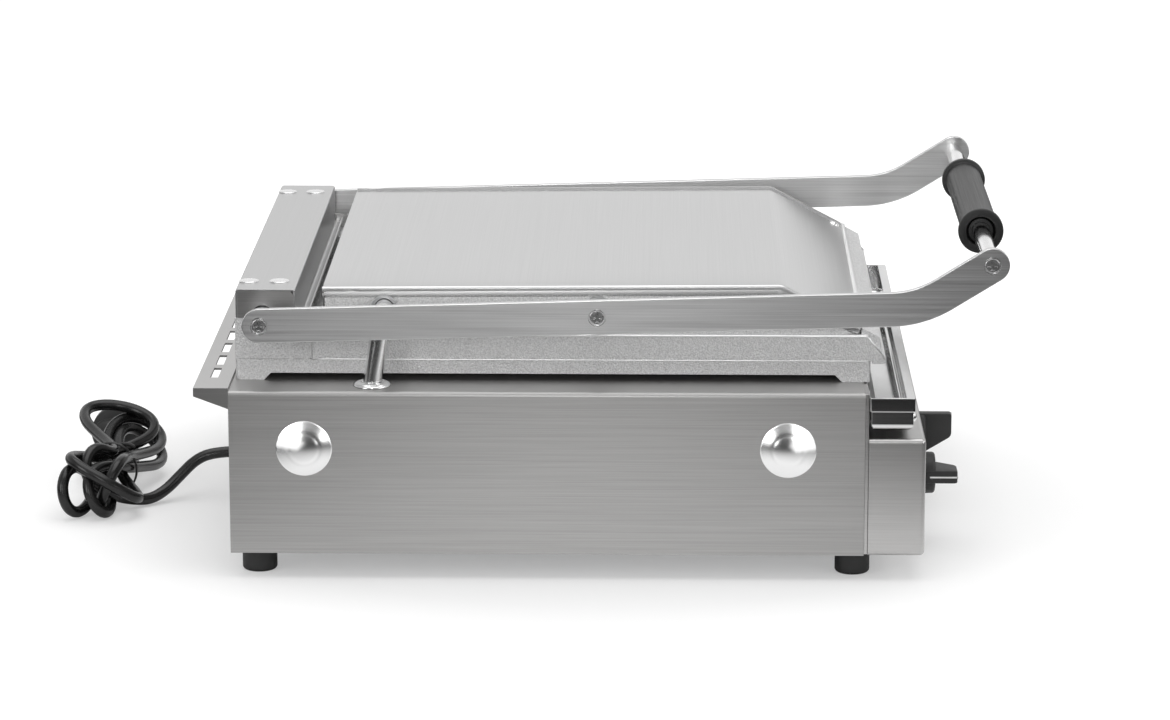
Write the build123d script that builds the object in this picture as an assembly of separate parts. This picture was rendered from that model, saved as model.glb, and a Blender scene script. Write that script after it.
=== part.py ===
from build123d import *
import os
from math import atan2, cos, degrees, hypot, radians, sin, tan

# Panini press: a heated clamshell grill. X runs across it, the controls and the handle face -Y, Z is up.
# The origin is on the bench, under the middle of the machine. All sizes are in millimetres.

# Housing
body_half = 215.0
body_front = -174.6
body_rear = 249.6
body_top = 129.3
foot_height = 18.0
sheet = 1.5
inner_half = body_half - sheet - 0.1
foot_radius = 11.75
foot_x = 188.0
foot_y = (232.4, -168.0)
cap_y = (199.4, -123.5)
cap_z = 90.4
cap_radius = 18.75
cap_rise = 3.5

# Control box, its knobs and the grease tray above it
seam = 2.5
box_rear = body_front - seam - 0.1
box_front = -215.2
box_top = 98.4
knob_z = 50.0
timer_x = -115.0
thermostat_x = 0.0
switch_x = -155.0
switch_z = 39.5
knob_gap = 0.5
spindle_radius = 3.0
tray_front = -207.7
tray_rear = -177.4
tray_base = 103.6
tray_band = 117.1
tray_top = 126.4

# Grill plates
plate_half = 180.8
plate_front = -179.0
plate_rear = 247.4
plate_under = 134.1
plate_top = 143.6
skirt_under = 144.0
skirt_top = 161.0
skirt_rear = 195.7
groove_pitch = 12.0
groove_depth = 3.5
groove_count = 27

# Raised back of the upper plate, and the cover on it
raised_half = 173.8
cover_half = 174.0
cover_sheet = 1.2
cover_rear = 188.9
cover_rear_z = 191.0
bend_y = -119.3
bend_z = 193.5
cover_front = -172.8
cover_front_z = 165.4

# Lid linkage
hinge_y = 228.7
hinge_z = 172.4
float_y = 4.1
float_z = 179.2
corner_y = -209.7
corner_z = 185.7
handle_y = -257.2
handle_z = 215.4
arm_outer = 209.0
arm_inner = 204.0
arm_half_height = 11.5
shaft_radius = 6.0
pin_radius = 4.5
screw_radius = 2.5
screw_head = 5.25
running = 0.05

# Hinge channel
channel_half = 183.3
channel_top = 192.0
channel_front = 206.6
channel_rear = 246.5
tower_inner = 146.0

# Heater conduit
conduit_x = -195.5
conduit_y = 154.6
conduit_radius = 6.25
elbow_y = 147.3
elbow_z = 178.0
conduit_join = 165.0

# Mains cord
cord_radius = 4.0
cord_exit = (0.0, 269.6, 33.0)
lead_route = [
    cord_exit,
    (0.0, 283.0, 32.2),
    (-2.5, 295.0, 27.5),
    (-8.0, 305.0, 18.0),
    (-16.0, 315.0, 8.6),
    (-26.0, 325.0, 4.4),
    (-34.0, 335.5, 6.0),
    (-42.0, 346.0, 10.0),
]
hank_near = -67.0
hank_far = 80.0
plug_y = 366.0
plug_z = 18.8


def block(x0, x1, y0, y1, z0, z1):
    """Box between two corners."""
    return Pos((x0 + x1) / 2, (y0 + y1) / 2, (z0 + z1) / 2) * Box(x1 - x0, y1 - y0, z1 - z0)


def bar_x(x0, x1, y, z, radius):
    """Round bar along X."""
    return Pos((x0 + x1) / 2, y, z) * Rot(0, 90, 0) * Cylinder(radius, abs(x1 - x0))


def bar_y(x, y0, y1, z, radius):
    """Round bar along Y."""
    return Pos(x, (y0 + y1) / 2, z) * Rot(90, 0, 0) * Cylinder(radius, abs(y1 - y0))


def bar_z(x, y, z0, z1, radius):
    """Round bar along Z."""
    return Pos(x, y, (z0 + z1) / 2) * Cylinder(radius, z1 - z0)


def profile_x(points, x0, x1):
    """A closed (y, z) outline carried along X."""
    outline = make_face(Polyline(*points, close=True))
    return extrude(Plane.YZ.offset(x0) * outline, x1 - x0, dir=(1, 0, 0))


def both(shape):
    """A shape and its mirror image across the middle plane."""
    return [shape, mirror(shape, Plane.YZ)]


def dome(radius, rise):
    """Spherical cap standing on the XY plane."""
    ball = (radius**2 + rise**2) / (2 * rise)
    return Pos(0, 0, rise - ball) * Sphere(ball) & Pos(0, 0, rise / 2) * Box(3 * radius, 3 * radius, rise)


def edges_near(shape, y, z, reach=0.2):
    """The edges along X that pass a (y, z) place."""
    found = shape.edges().filter_by(Axis.X)
    return found.filter_by(lambda e: hypot(e.center().Y - y, e.center().Z - z) < reach)


def save(name, *shapes):
    """One STEP file, named after its node."""
    solids = [solid for shape in shapes for solid in shape.solids()]
    whole = solids[0] if len(solids) == 1 else Compound(solids)
    export_step(whole, f"parts/{name}.step")


# Housing

def make_body_shell():
    outer = block(-body_half, body_half, body_front, body_rear, foot_height, body_top)
    outer = fillet(outer.edges().filter_by(Axis.Y).group_by(Axis.Z)[-1], 3)
    inside = block(-body_half + sheet, body_half - sheet, body_front - 1, body_rear + 1, 0, body_top - sheet)
    window = block(-150, 150, -120, 200, 100, 140)
    passage = bar_z(conduit_x, conduit_y, 100, 140, 5)
    save("body_shell", outer - inside - window - passage)


def make_base_plate():
    plate = block(-inner_half, inner_half, body_front + 0.1, body_rear - sheet - 0.1, foot_height, foot_height + sheet)
    for y in foot_y:
        for x in (-foot_x, foot_x):
            plate -= bar_z(x, y, 0, 40, screw_radius + 0.1)
    for row in (-60, 60):
        for i in range(8):
            slot = SlotOverall(30, 4)
            plate -= Pos(row * 1.5, -110 + i * 40, foot_height - 1) * extrude(slot, 4)
    save("base_plate", plate)


def make_rear_panel():
    panel = block(-inner_half, inner_half, body_rear - sheet, body_rear, foot_height + 1.6, body_top - 1.6)
    panel -= bar_y(cord_exit[0], body_rear - 5, body_rear + 5, cord_exit[2], 7)
    for i in range(10):
        panel -= block(slot_x(i) - 14, slot_x(i) + 14, body_rear - 5, body_rear + 5, 98, 103)
    save("rear_panel", panel)


def make_front_panel():
    panel = block(-inner_half, inner_half, body_front - seam, body_front, foot_height + 0.6, body_top - 0.6)
    panel -= bar_y(-57, body_front - 10, body_front + 10, 60, 15)
    save("front_panel", panel)


def make_feet():
    feet = []
    screws = []
    for y in foot_y:
        for x in (-foot_x, foot_x):
            foot = bar_z(0, 0, 0, foot_height, foot_radius)
            foot = fillet(foot.edges().group_by(Axis.Z)[0], 2.5)
            foot -= bar_z(0, 0, -1, 6, 5)
            foot -= bar_z(0, 0, 5, 20, screw_radius + 0.1)
            screw = bar_z(0, 0, 3, 6, 4.5) + bar_z(0, 0, 6, 25, screw_radius)
            feet.append(Pos(x, y, 0) * foot)
            screws.append(Pos(x, y, 0) * screw)
    save("rubber_feet", *feet)
    save("foot_screws", *screws)


def make_dome_caps():
    cap = Rot(0, 90, 0) * dome(cap_radius, cap_rise)
    caps = []
    for y in cap_y:
        caps += both(Pos(body_half, y, cap_z) * cap)
    save("dome_caps", *caps)


def slot_x(i):
    """Middle of a slot of the rear vent guard."""
    return (i - 4.5) * 37.8


def make_rear_vent_guard():
    out = 272.8
    top = 131.5
    guard = block(-body_half, body_half, body_rear, out, top - sheet, top)
    guard += block(-body_half, body_half, out - sheet, out, 125.7, top)
    guard += block(-inner_half, inner_half, body_rear, body_rear + sheet, 117.1, top)
    end = profile_x([(body_rear, 117.1), (body_rear, top), (out, top), (out, 125.7)], body_half - sheet, body_half)
    for plate in both(end):
        guard += plate
    for i in range(10):
        guard -= block(slot_x(i) - 14, slot_x(i) + 14, 259, 264.3, 120, 140)
    save("rear_vent_guard", guard)
    screw = Rot(-90, 0, 0) * dome(3.5, 1.8)
    places = [-151.2, -37.8, 37.8, 151.2]
    save("vent_guard_screws", *[Pos(x, body_rear + sheet, 121.5) * screw for x in places])


# Controls

def make_control_box():
    outer = block(-body_half, body_half, box_front, box_rear, foot_height, box_top)
    front_edges = outer.edges().group_by(Axis.Y)[0]
    outer = fillet(front_edges + outer.edges().filter_by(Axis.Y), 3)
    inside = block(-body_half + sheet, body_half - sheet, box_front + sheet, box_rear + 1,
                   foot_height + sheet, box_top - sheet)
    shell = outer - inside
    for x in (timer_x, thermostat_x):
        shell -= bar_y(x, box_front - 5, box_front + 5, knob_z, 4.6)
    shell -= block(switch_x - 6.9, switch_x + 6.9, box_front - 5, box_front + 5, switch_z - 4.4, switch_z + 4.4)
    save("control_box", shell)


def make_knob(name, x, turn):
    """Skirted knob with a bar grip; the bar lies along X before it is turned."""
    knob = Pos(0, 0, 2) * Cylinder(14.5, 4)
    knob = chamfer(knob.edges().group_by(Axis.Z)[-1], 1.2)
    knob += Pos(0, 0, 7) * Cone(11.8, 10.4, 6)
    grip = Pos(0, 0, 15.3) * Box(25, 8, 22.6)
    grip = fillet(grip.edges().filter_by(Axis.Z), 3)
    knob += fillet(grip.edges().group_by(Axis.Z)[-1], 1.5)
    knob -= Pos(0, 0, 7) * Cylinder(spindle_radius + running, 15)
    place = Pos(x, box_front - knob_gap, knob_z) * Rot(90, 0, 0)
    save(name + "_knob", place * Rot(0, 0, turn) * knob)
    save(name + "_spindle", place * Pos(0, 0, -1) * Cylinder(spindle_radius, 29))


def make_control_units():
    for name, x in (("timer", timer_x), ("thermostat", thermostat_x)):
        inner = box_front + sheet
        unit = block(x - 19, x + 19, inner + 7, inner + 23, knob_z - 19, knob_z + 19)
        unit = fillet(unit.edges().filter_by(Axis.Y), 4)
        unit += bar_y(x, inner, inner + 7, knob_z, 5)
        unit -= bar_y(x, inner - 1, inner + 16, knob_z, spindle_radius + running)
        for tab in (-8, 0, 8):
            unit += block(x + tab - 2.4, x + tab + 2.4, inner + 23, inner + 29, knob_z - 12, knob_z - 11.2)
        save(name + "_unit", unit)


def make_switch():
    bezel = block(switch_x - 7.8, switch_x + 7.8, box_front - 1.4, box_front, switch_z - 5.4, switch_z + 5.4)
    bezel = chamfer(bezel.edges().group_by(Axis.Y)[0], 0.6)
    bezel += block(switch_x - 6.8, switch_x + 6.8, box_front, box_front + 15, switch_z - 4.3, switch_z + 4.3)
    bezel -= block(switch_x - 6.1, switch_x + 6.1, box_front - 5, box_front + 5.5, switch_z - 3.6, switch_z + 3.6)
    save("switch_housing", bezel)
    outline = [(-5.2, -1), (-5.0, -4.2), (0, -3.2), (5.0, -4.2), (5.2, -1), (2, 2), (-2, 2)]
    rocker = extrude(make_face(Polyline(*outline, close=True)), 6.6, dir=(0, 0, 1))
    save("switch_rocker", Pos(switch_x, box_front + 1.7, switch_z - 3.3) * Rot(0, 0, -7) * rocker)


def make_terminal_block():
    terminal = block(-80, -40, 206, 226, foot_height + sheet, foot_height + sheet + 14)
    for x in (-73, -60, -47):
        terminal -= bar_y(x, 200, 230, 27, 2.6)
        terminal -= bar_z(x, 216, 27, 40, 2.4)
    save("terminal_block", terminal)


# Grease tray

def make_tray():
    rim = block(-body_half, body_half, tray_front, tray_rear, tray_band, tray_top)
    rim = fillet(rim.edges().filter_by(Axis.Z), 1.5)
    low = block(-body_half + 1.2, body_half - 1.2, tray_front + 1.2, tray_rear - 1.2, tray_base, tray_band)
    low = fillet(low.edges().group_by(Axis.Z)[0], 5)
    tray = rim + low
    tray -= block(-body_half + 2.4, body_half - 2.4, tray_front + 2.4, tray_rear - 2.4, tray_band - 8, tray_top - 1.5)
    well = block(-body_half + 2.4, body_half - 2.4, tray_front + 2.4, tray_rear - 2.4, tray_base + 1.2, tray_band)
    tray -= fillet(well.edges().group_by(Axis.Z)[0], 4)
    tray -= block(-body_half + 2.4, body_half - 2.4, tray_front + 6, tray_rear - 4, tray_band, tray_top + 1)
    save("grease_tray", tray)
    stud = Pos(205, tray_front + 1.2, 111.6) * Rot(90, 0, 0) * dome(4, 2.6)
    save("tray_studs", *both(stud))
    rail = block(140, 160, tray_front + 2, box_rear, box_top, tray_base - 0.3)
    rail -= block(143, 157, tray_front, box_rear + 1, box_top - 1, tray_base - 1.8)
    save("tray_rails", *both(rail))


# Grill plates

def grooves(z, sign):
    """V grooves along Y, cut into a grill face at a height; sign is the way into the metal."""
    cuts = []
    outline = [(-3, 0), (3, 0), (0.8, sign * groove_depth), (-0.8, sign * groove_depth)]
    for i in range(groove_count):
        x = (i - (groove_count - 1) / 2) * groove_pitch
        face = Plane((x, 165, z), x_dir=(1, 0, 0), z_dir=(0, -1, 0)) * make_face(Polyline(*outline, close=True))
        cuts.append(extrude(face, 325, dir=(0, -1, 0)))
    return cuts


def make_lower_platen():
    foot = 19.0
    drop = plate_under - body_top
    outline = [
        (plate_front, body_top),
        (plate_front + foot, body_top),
        (plate_front + foot + drop, plate_under),
        (plate_rear - foot - drop, plate_under),
        (plate_rear - foot, body_top),
        (plate_rear, body_top),
        (plate_rear, plate_top),
        (plate_front, plate_top),
    ]
    plate = profile_x(outline, -plate_half, plate_half)
    plate = fillet(plate.edges().filter_by(Axis.Z), 2.5)
    gutter = block(-172, 172, -172, 178, plate_top - 4.5, plate_top + 1)
    gutter -= block(-164, 164, -164, 170, plate_top - 5, plate_top + 2)
    plate -= gutter
    plate -= block(-18, 18, -190, -170, plate_top - 4.5, plate_top + 1)
    for cut in grooves(plate_top, -1):
        plate -= cut
    save("lower_platen", plate)


def make_towers():
    outline = [
        (plate_rear, plate_top),
        (197.2, plate_top),
        (197.2, skirt_top),
        (channel_front + 2.8, skirt_top),
        (channel_front + 2.8, channel_top - sheet - 5),
        (channel_front + 7.8, channel_top - sheet),
        (channel_rear - 1.7, channel_top - sheet),
        (channel_rear - 1.7, 172.0),
        (plate_rear, 172.0),
    ]
    tower = profile_x(outline, -plate_half, -tower_inner) - bar_x(-190, -140, hinge_y, hinge_z, 8)
    left, right = both(tower)
    save("left_hinge_tower", left)
    save("right_hinge_tower", right)
    bush = bar_x(-plate_half, -tower_inner, hinge_y, hinge_z, 7.98)
    bush += bar_x(-tower_inner, -tower_inner + 1.5, hinge_y, hinge_z, 9.5)
    bush -= bar_x(-190, -140, hinge_y, hinge_z, shaft_radius + running)
    save("hinge_bushes", *both(bush))


def make_channel():
    t = sheet
    lip = 201.9
    outline = [
        (channel_rear, 172.5),
        (channel_rear, channel_top),
        (channel_front, channel_top),
        (channel_front, 166.5),
        (lip + t, 166.5),
        (lip + t, 168.0),
        (lip, 168.0),
        (lip, 165.0),
        (channel_front + t, 165.0),
        (channel_front + t, channel_top - t),
        (channel_rear - t, channel_top - t),
        (channel_rear - t, 172.5),
    ]
    channel = profile_x(outline, -channel_half, channel_half)
    channel = fillet(edges_near(channel, channel_front + t, channel_top - t), 4.5)
    channel = fillet(edges_near(channel, channel_front, channel_top), 6)
    cheek = profile_x(
        [(channel_rear, 172.3), (channel_rear, channel_top - 1), (channel_front + 4, channel_top - 1),
         (channel_front + 1, 186), (channel_front + 1, 172.3)],
        -channel_half, -channel_half + t)
    cheek -= bar_x(-190, -170, hinge_y, hinge_z, 8.6)
    for plate in both(cheek):
        channel += plate
    channel += block(-tower_inner + 0.6, tower_inner - 0.6, channel_rear - t, channel_rear, 145, 174)
    save("hinge_channel", channel)
    rivets = []
    for y in (239.7, 219.1):
        rivets += both(Pos(157.5, y, channel_top) * dome(6.7, 3))
    save("channel_rivets", *rivets)


def cover_line(depth):
    """The cover's rear, bend and front corners, moved inwards by a depth."""
    top_slope = atan2(bend_z - cover_rear_z, cover_rear - bend_y)
    front_slope = atan2(cover_front_z - bend_z, bend_y - cover_front)
    middle = (top_slope + front_slope) / 2
    reach = depth / cos((front_slope - top_slope) / 2)
    rear = (cover_rear, cover_rear_z - depth)
    bend = (bend_y - reach * sin(middle), bend_z - reach * cos(middle))
    front = (cover_front - depth * sin(front_slope), cover_front_z - depth * cos(front_slope))
    return [rear, bend, front]


def make_upper_platen():
    skirt = profile_x(
        [(skirt_rear, skirt_under), (skirt_rear, skirt_top), (-176.6, skirt_top), (-189.6, 144.0),
         (-189.0, 142.5), (-187.4, 141.9), (-180.0, 141.9), (-180.0, skirt_under)],
        -plate_half, plate_half)
    casting = skirt
    for half, depth in ((raised_half, 6.5), (raised_half - 2, 4.6), (raised_half - 3.8, 1.4)):
        rear, bend, front = cover_line(depth)
        outline = [(cover_rear - 1.5, 150), (cover_rear - 1.5, rear[1]), bend, front, (front[0], 150)]
        casting += profile_x(outline, -half, half)
    casting += profile_x(
        [(-172.9, 147), (-172.9, 165.2), (-185.2, 158.7), (-186.6, 150.5), (-186.6, 147)], -raised_half, raised_half)
    casting -= profile_x([(181, 153), (181, 210), (-165, 210), (-165, 161), (-150, 153)], -165, 165)
    for side in (-1, 1):
        casting += bar_x(side * 150, side * (raised_half - 1), float_y, float_z, 10)
        casting -= bar_x(side * 145, side * 180, float_y, float_z, 6.02)
    casting -= bar_x(-178, -160, elbow_y, elbow_z, conduit_radius + 0.3)
    for cut in grooves(skirt_under, 1):
        casting -= cut
    save("upper_platen", casting)
    bush = bar_x(150, raised_half, float_y, float_z, 6) + bar_x(raised_half, raised_half + 1.5, float_y, float_z, 7.5)
    bush -= bar_x(140, 180, float_y, float_z, pin_radius + running)
    save("float_bushes", *both(bush))


def make_cover():
    outer = cover_line(0)
    inner = cover_line(cover_sheet)
    skin = profile_x(
        [(cover_rear, 163), outer[0], outer[1], outer[2], inner[2], inner[1],
         (cover_rear - cover_sheet, inner[0][1]), (cover_rear - cover_sheet, 163)],
        -cover_half, cover_half)
    flange_line = cover_line(5.2)
    flange = profile_x(
        [outer[0], outer[1], outer[2], flange_line[2], flange_line[1], flange_line[0]],
        cover_half - cover_sheet, cover_half)
    for side in both(flange):
        skin += side
    save("top_cover", skin)
    slope = degrees(atan2(bend_z - cover_front_z, bend_y - cover_front))
    along = 7.0
    y = cover_front + along * cos(radians(slope))
    z = cover_front_z + along * sin(radians(slope))
    save("cover_screws", *both(Pos(160, y, z) * Rot(slope, 0, 0) * dome(4.5, 2.4)))


def heater_path(z):
    """Meander of a tubular heating element, with both ends at the rear."""
    half = [(-20, 190), (-20, -60), (-70, -60), (-70, 160), (-120, 160), (-120, -100)]
    other = [(-x, y) for x, y in reversed(half)]
    points = [(x, y, z) for x, y in half + other]
    path = FilletPolyline(*points, radius=18)
    return path


def make_heaters():
    for name, z in (("lower_heating_element", plate_under - 4.1), ("upper_heating_element", 153 + 4.1)):
        path = heater_path(z) if name.startswith("lower") else Pos(0, -15, 0) * heater_path(z)
        section = Plane(path @ 0, z_dir=path % 0) * Circle(4)
        save(name, sweep(section, path=path))
    pad = block(-146, 146, -112, 192, 109, 123)
    save("lower_insulation", pad)
    pan = block(-149, 149, -116, 196, 107.5, 127.7) - block(-147.5, 147.5, -114.5, 194.5, 109, 130)
    pan += block(-160, 160, -127, -114.5, 126.2, 127.7) + block(-160, 160, 194.5, 207, 126.2, 127.7)
    save("lower_heat_shield", pan)
    save("upper_insulation", block(-147, 147, -138, 176, 162.5, 178))
    bulb = bar_y(0, 0, 110, plate_under - 3.1, 3)
    save("thermostat_bulb", fillet(bulb.edges(), 1.5))


# Lid linkage

def make_arms():
    along = FilletPolyline((hinge_y, hinge_z), (corner_y, corner_z), (handle_y, handle_z), radius=70)
    outline = make_face(offset(along, arm_half_height, kind=Kind.ARC, side=Side.BOTH))
    arm = extrude(Plane.YZ.offset(-arm_outer) * outline, arm_outer - arm_inner, dir=(1, 0, 0))
    screws = []
    for y, z in ((hinge_y, hinge_z), (float_y, float_z), (handle_y, handle_z)):
        screw = countersunk_screw(0)
        arm -= Pos(-arm_outer, y, z) * Rot(0, 90, 0) * countersunk_screw(running)
        screws += both(Pos(-arm_outer, y, z) * Rot(0, 90, 0) * (screw - cross_recess()))
    left, right = both(arm)
    save("left_arm", left)
    save("right_arm", right)
    save("arm_screws", *screws)


def countersunk_screw(extra):
    """Countersunk screw along +Z from its flat head, grown by a clearance for cutting its seat."""
    head = Pos(0, 0, 1.4) * Cone(screw_head + extra, screw_radius + extra, 2.8)
    return head + Pos(0, 0, 8.5) * Cylinder(screw_radius + extra, 17)


def cross_recess():
    """Cross-shaped driver recess."""
    return Box(5.4, 1.3, 3.4) + Box(1.3, 5.4, 3.4)


def screw_hole(y, z):
    """Tapped holes at both ends of a bar across the lid."""
    return bar_x(-arm_inner - 1, -arm_outer + 18, y, z, screw_radius + running)


def make_shafts():
    shaft = bar_x(-arm_inner, arm_inner, hinge_y, hinge_z, shaft_radius)
    rod = bar_x(-arm_inner, arm_inner, handle_y, handle_z, shaft_radius)
    for hole in both(screw_hole(hinge_y, hinge_z)):
        shaft -= hole
    for hole in both(screw_hole(handle_y, handle_z)):
        rod -= hole
    save("hinge_shaft", shaft)
    save("handle_rod", rod)
    pin = bar_x(-arm_inner, -152, float_y, float_z, pin_radius) - screw_hole(float_y, float_z)
    save("float_pins", *both(pin))
    collar = ring_x(-arm_inner, -plate_half - 0.5, hinge_y, hinge_z, 7.7, shaft_radius + 0.02)
    save("shaft_collars", *both(collar))
    spring = ring_x(-140, -40, hinge_y, hinge_z, 12.5, 9.5)
    save("counterbalance_springs", *both(spring))


def ring_x(x0, x1, y, z, outer, bore):
    """Ring or sleeve along X."""
    return bar_x(x0, x1, y, z, outer) - bar_x(x0 - 1, x1 + 1, y, z, bore)


def make_grip():
    grip = bar_x(-95, 95, handle_y, handle_z, 12.75)
    for side in (-1, 1):
        flange = bar_x(side * 90, side * 95, handle_y, handle_z, 15.5)
        grip += fillet(flange.edges(), 1.5)
    grip -= bar_x(-100, 100, handle_y, handle_z, shaft_radius + 0.08)
    for side in (-1, 1):
        grip -= bar_x(side * 88, side * 100, handle_y, handle_z, 10)
    save("handle_grip", grip)
    collar = ring_x(-92.5, -88.5, handle_y, handle_z, 8.5, shaft_radius + 0.02)
    save("grip_collars", *both(collar))


def make_conduit():
    gland = bar_z(conduit_x, conduit_y, body_top, body_top + 3, 12.85)
    gland = fillet(gland.edges().group_by(Axis.Z)[-1], 1.5)
    gland -= bar_z(conduit_x, conduit_y, body_top - 1, body_top + 5, conduit_radius + 1.2)
    save("conduit_gland", gland)
    foot = Vector(conduit_x, conduit_y, body_top + 1.2)
    corner = Vector(conduit_x, elbow_y, elbow_z)
    rise = (corner - foot).normalized()
    lean = degrees(atan2(foot.Y - corner.Y, corner.Z - foot.Z))
    join = foot + rise * (conduit_join - foot.Z)
    lower = Polyline(foot, join - rise * 0.3)
    save("conduit_lower", sweep(Plane(foot, z_dir=lower % 0) * Circle(conduit_radius), path=lower))
    upper = FilletPolyline(join, corner, (-raised_half + 4, elbow_y, elbow_z), radius=9)
    save("conduit_upper", sweep(Plane(join, z_dir=upper % 0) * Circle(conduit_radius), path=upper))
    clip = block(-arm_inner, -187, join.Y - 9, join.Y + 9, conduit_join - 2.5, conduit_join + 2.5)
    clip = fillet(clip.edges().filter_by(Axis.Z).group_by(Axis.X)[-1], 6)
    clip -= Pos(join) * Rot(lean, 0, 0) * Cylinder(conduit_radius + 0.15, 20)
    save("conduit_clip", clip)
    inlet = ring_x(-cover_half - 2.6, -cover_half - 0.1, elbow_y, elbow_z, 9, conduit_radius + 0.3)
    save("conduit_inlet", inlet)


# Mains cord

def lead_radii():
    """Arc radius at each inner point of the lead, from its two runs and its turn."""
    points = [Vector(*p) for p in lead_route]
    radii = []
    for before, at, after in zip(points, points[1:], points[2:]):
        run_in = at - before
        run_out = after - at
        turn = radians(run_in.get_angle(run_out))
        radii.append(0.45 * min(run_in.length, run_out.length) / tan(turn / 2))
    return radii


def make_cord():
    x, y, z = cord_exit
    relief = Pos(x, (body_rear + y) / 2, z) * Rot(-90, 0, 0) * Cone(8.5, 5.2, y - body_rear)
    relief += bar_y(x, body_rear - 6, body_rear, z, 6.9)
    relief += bar_y(x, body_rear - 6, body_rear - sheet - 0.1, z, 10)
    save("strain_relief", relief)
    radii = lead_radii()
    path = FilletPolyline(*lead_route, radius=radii)
    lead = sweep(Plane(path @ 0, z_dir=path % 0) * Circle(cord_radius), path=path)
    print("lead radii", [round(r, 1) for r in radii])
    print("lead length", round(path.length, 1), "volume ratio", lead.volume / (path.length * 3.14159 * 16))
    save("cord_lead", lead)
    sections = []
    for sx, low_y, high_y, top in ((hank_near, 322, 382, 50), (-30, 342, 374, 34), (10, 342, 374, 34),
                                   (hank_far, 334, 386, 40)):
        plane = Plane((sx, (low_y + high_y) / 2, top / 2 + 0.1), x_dir=(0, 1, 0), z_dir=(1, 0, 0))
        sections.append(plane * RectangleRounded(high_y - low_y, top - 0.2, 12))
    hank = loft(sections, ruled=True)
    save("cord_hank", hank)
    wrap = Plane((-11, 358, 17.3), x_dir=(0, 1, 0), z_dir=(1, 0, 0))
    band = extrude(wrap * RectangleRounded(34.2, 34.2, 13), 2)
    save("cord_tie", band - hank)


def make_plug():
    start = hank_far
    plug = Pos(start + 10, plug_y, plug_z) * Rot(0, 90, 0) * Cone(5.5, 9, 20)
    plug += Pos(start + 25, plug_y, plug_z) * Rot(0, 90, 0) * Cone(12, 16, 10)
    body = bar_x(start + 30, start + 42, plug_y, plug_z, 18.6)
    plug += fillet(body.edges(), 1.5)
    for side in (-9.5, 9.5):
        pin = bar_x(start + 42, start + 61, plug_y + side, plug_z, 2.4)
        plug += fillet(pin.edges().group_by(Axis.X)[-1], 1)
    save("plug", plug)


os.makedirs("parts", exist_ok=True)
make_body_shell()
make_base_plate()
make_rear_panel()
make_front_panel()
make_feet()
make_dome_caps()
make_rear_vent_guard()
make_control_box()
make_knob("timer", timer_x, 0)
make_knob("thermostat", thermostat_x, 90)
make_control_units()
make_switch()
make_terminal_block()
make_tray()
make_lower_platen()
make_towers()
make_channel()
make_upper_platen()
make_cover()
make_heaters()
make_arms()
make_shafts()
make_grip()
make_conduit()
make_cord()
make_plug()
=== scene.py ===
from math import cos, pi, radians, sin

import bpy
import numpy as np
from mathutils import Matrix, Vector


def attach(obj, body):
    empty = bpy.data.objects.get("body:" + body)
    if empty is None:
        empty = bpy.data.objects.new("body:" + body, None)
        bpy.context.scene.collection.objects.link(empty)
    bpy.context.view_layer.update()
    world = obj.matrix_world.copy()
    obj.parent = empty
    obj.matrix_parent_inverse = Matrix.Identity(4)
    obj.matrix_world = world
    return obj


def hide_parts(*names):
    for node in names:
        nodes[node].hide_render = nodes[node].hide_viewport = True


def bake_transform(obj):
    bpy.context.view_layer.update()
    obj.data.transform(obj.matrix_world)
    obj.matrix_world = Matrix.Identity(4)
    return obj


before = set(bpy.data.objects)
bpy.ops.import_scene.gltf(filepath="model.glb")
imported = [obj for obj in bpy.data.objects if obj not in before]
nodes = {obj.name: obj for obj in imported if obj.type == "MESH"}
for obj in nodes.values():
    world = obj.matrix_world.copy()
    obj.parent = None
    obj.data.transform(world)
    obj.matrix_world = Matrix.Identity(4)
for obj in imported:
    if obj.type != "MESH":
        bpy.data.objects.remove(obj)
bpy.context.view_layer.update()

mm = 0.001
print("frame loaded:", len(nodes), "CAD nodes")


# where the camera stands in metres, its turn and downward look in degrees, and its lens
view = {"place": (-3.0908, -0.0416, 0.8248), "yaw": 1.065, "down": 13.169, "lens": 137.08, "sensor": 36,
        "reach": 50}
eye = bpy.data.cameras.new("eye")
eye.lens = view["lens"]
eye.sensor_width = view["sensor"]
eye.clip_end = view["reach"]
eyeObject = bpy.data.objects.new("eye", eye)
bpy.context.collection.objects.link(eyeObject)
eyeObject.location = view["place"]
yaw, down = radians(view["yaw"]), radians(view["down"])
looking = Vector((cos(down) * cos(yaw), cos(down) * sin(yaw), -sin(down)))
eyeObject.rotation_euler = looking.to_track_quat("-Z", "Y").to_euler()
bpy.context.scene.camera = eyeObject


def newFinish(name):
    finish = bpy.data.materials.new(name)
    finish.use_nodes = True
    tree = finish.node_tree
    return finish, tree, tree.nodes["Principled BSDF"]


def mapped(tree, source, low, high, start=0.0, end=1.0):
    # a straight-line change of one range of numbers to another
    box = tree.nodes.new("ShaderNodeMapRange")
    box.inputs["From Min"].default_value = start
    box.inputs["From Max"].default_value = end
    box.inputs["To Min"].default_value = low
    box.inputs["To Max"].default_value = high
    tree.links.new(source, box.inputs["Value"])
    return box.outputs["Result"]


def grain(tree, stretch, detail=4.0, rough=0.6):
    # noise on object coordinates, stretched by a number of grains per metre on each axis
    place = tree.nodes.new("ShaderNodeTexCoord")
    scaled = tree.nodes.new("ShaderNodeMapping")
    scaled.inputs["Scale"].default_value = stretch
    noise = tree.nodes.new("ShaderNodeTexNoise")
    noise.inputs["Scale"].default_value = 1.0
    noise.inputs["Detail"].default_value = detail
    noise.inputs["Roughness"].default_value = rough
    tree.links.new(place.outputs["Object"], scaled.inputs["Vector"])
    tree.links.new(scaled.outputs["Vector"], noise.inputs["Vector"])
    return noise.outputs[0]


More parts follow.
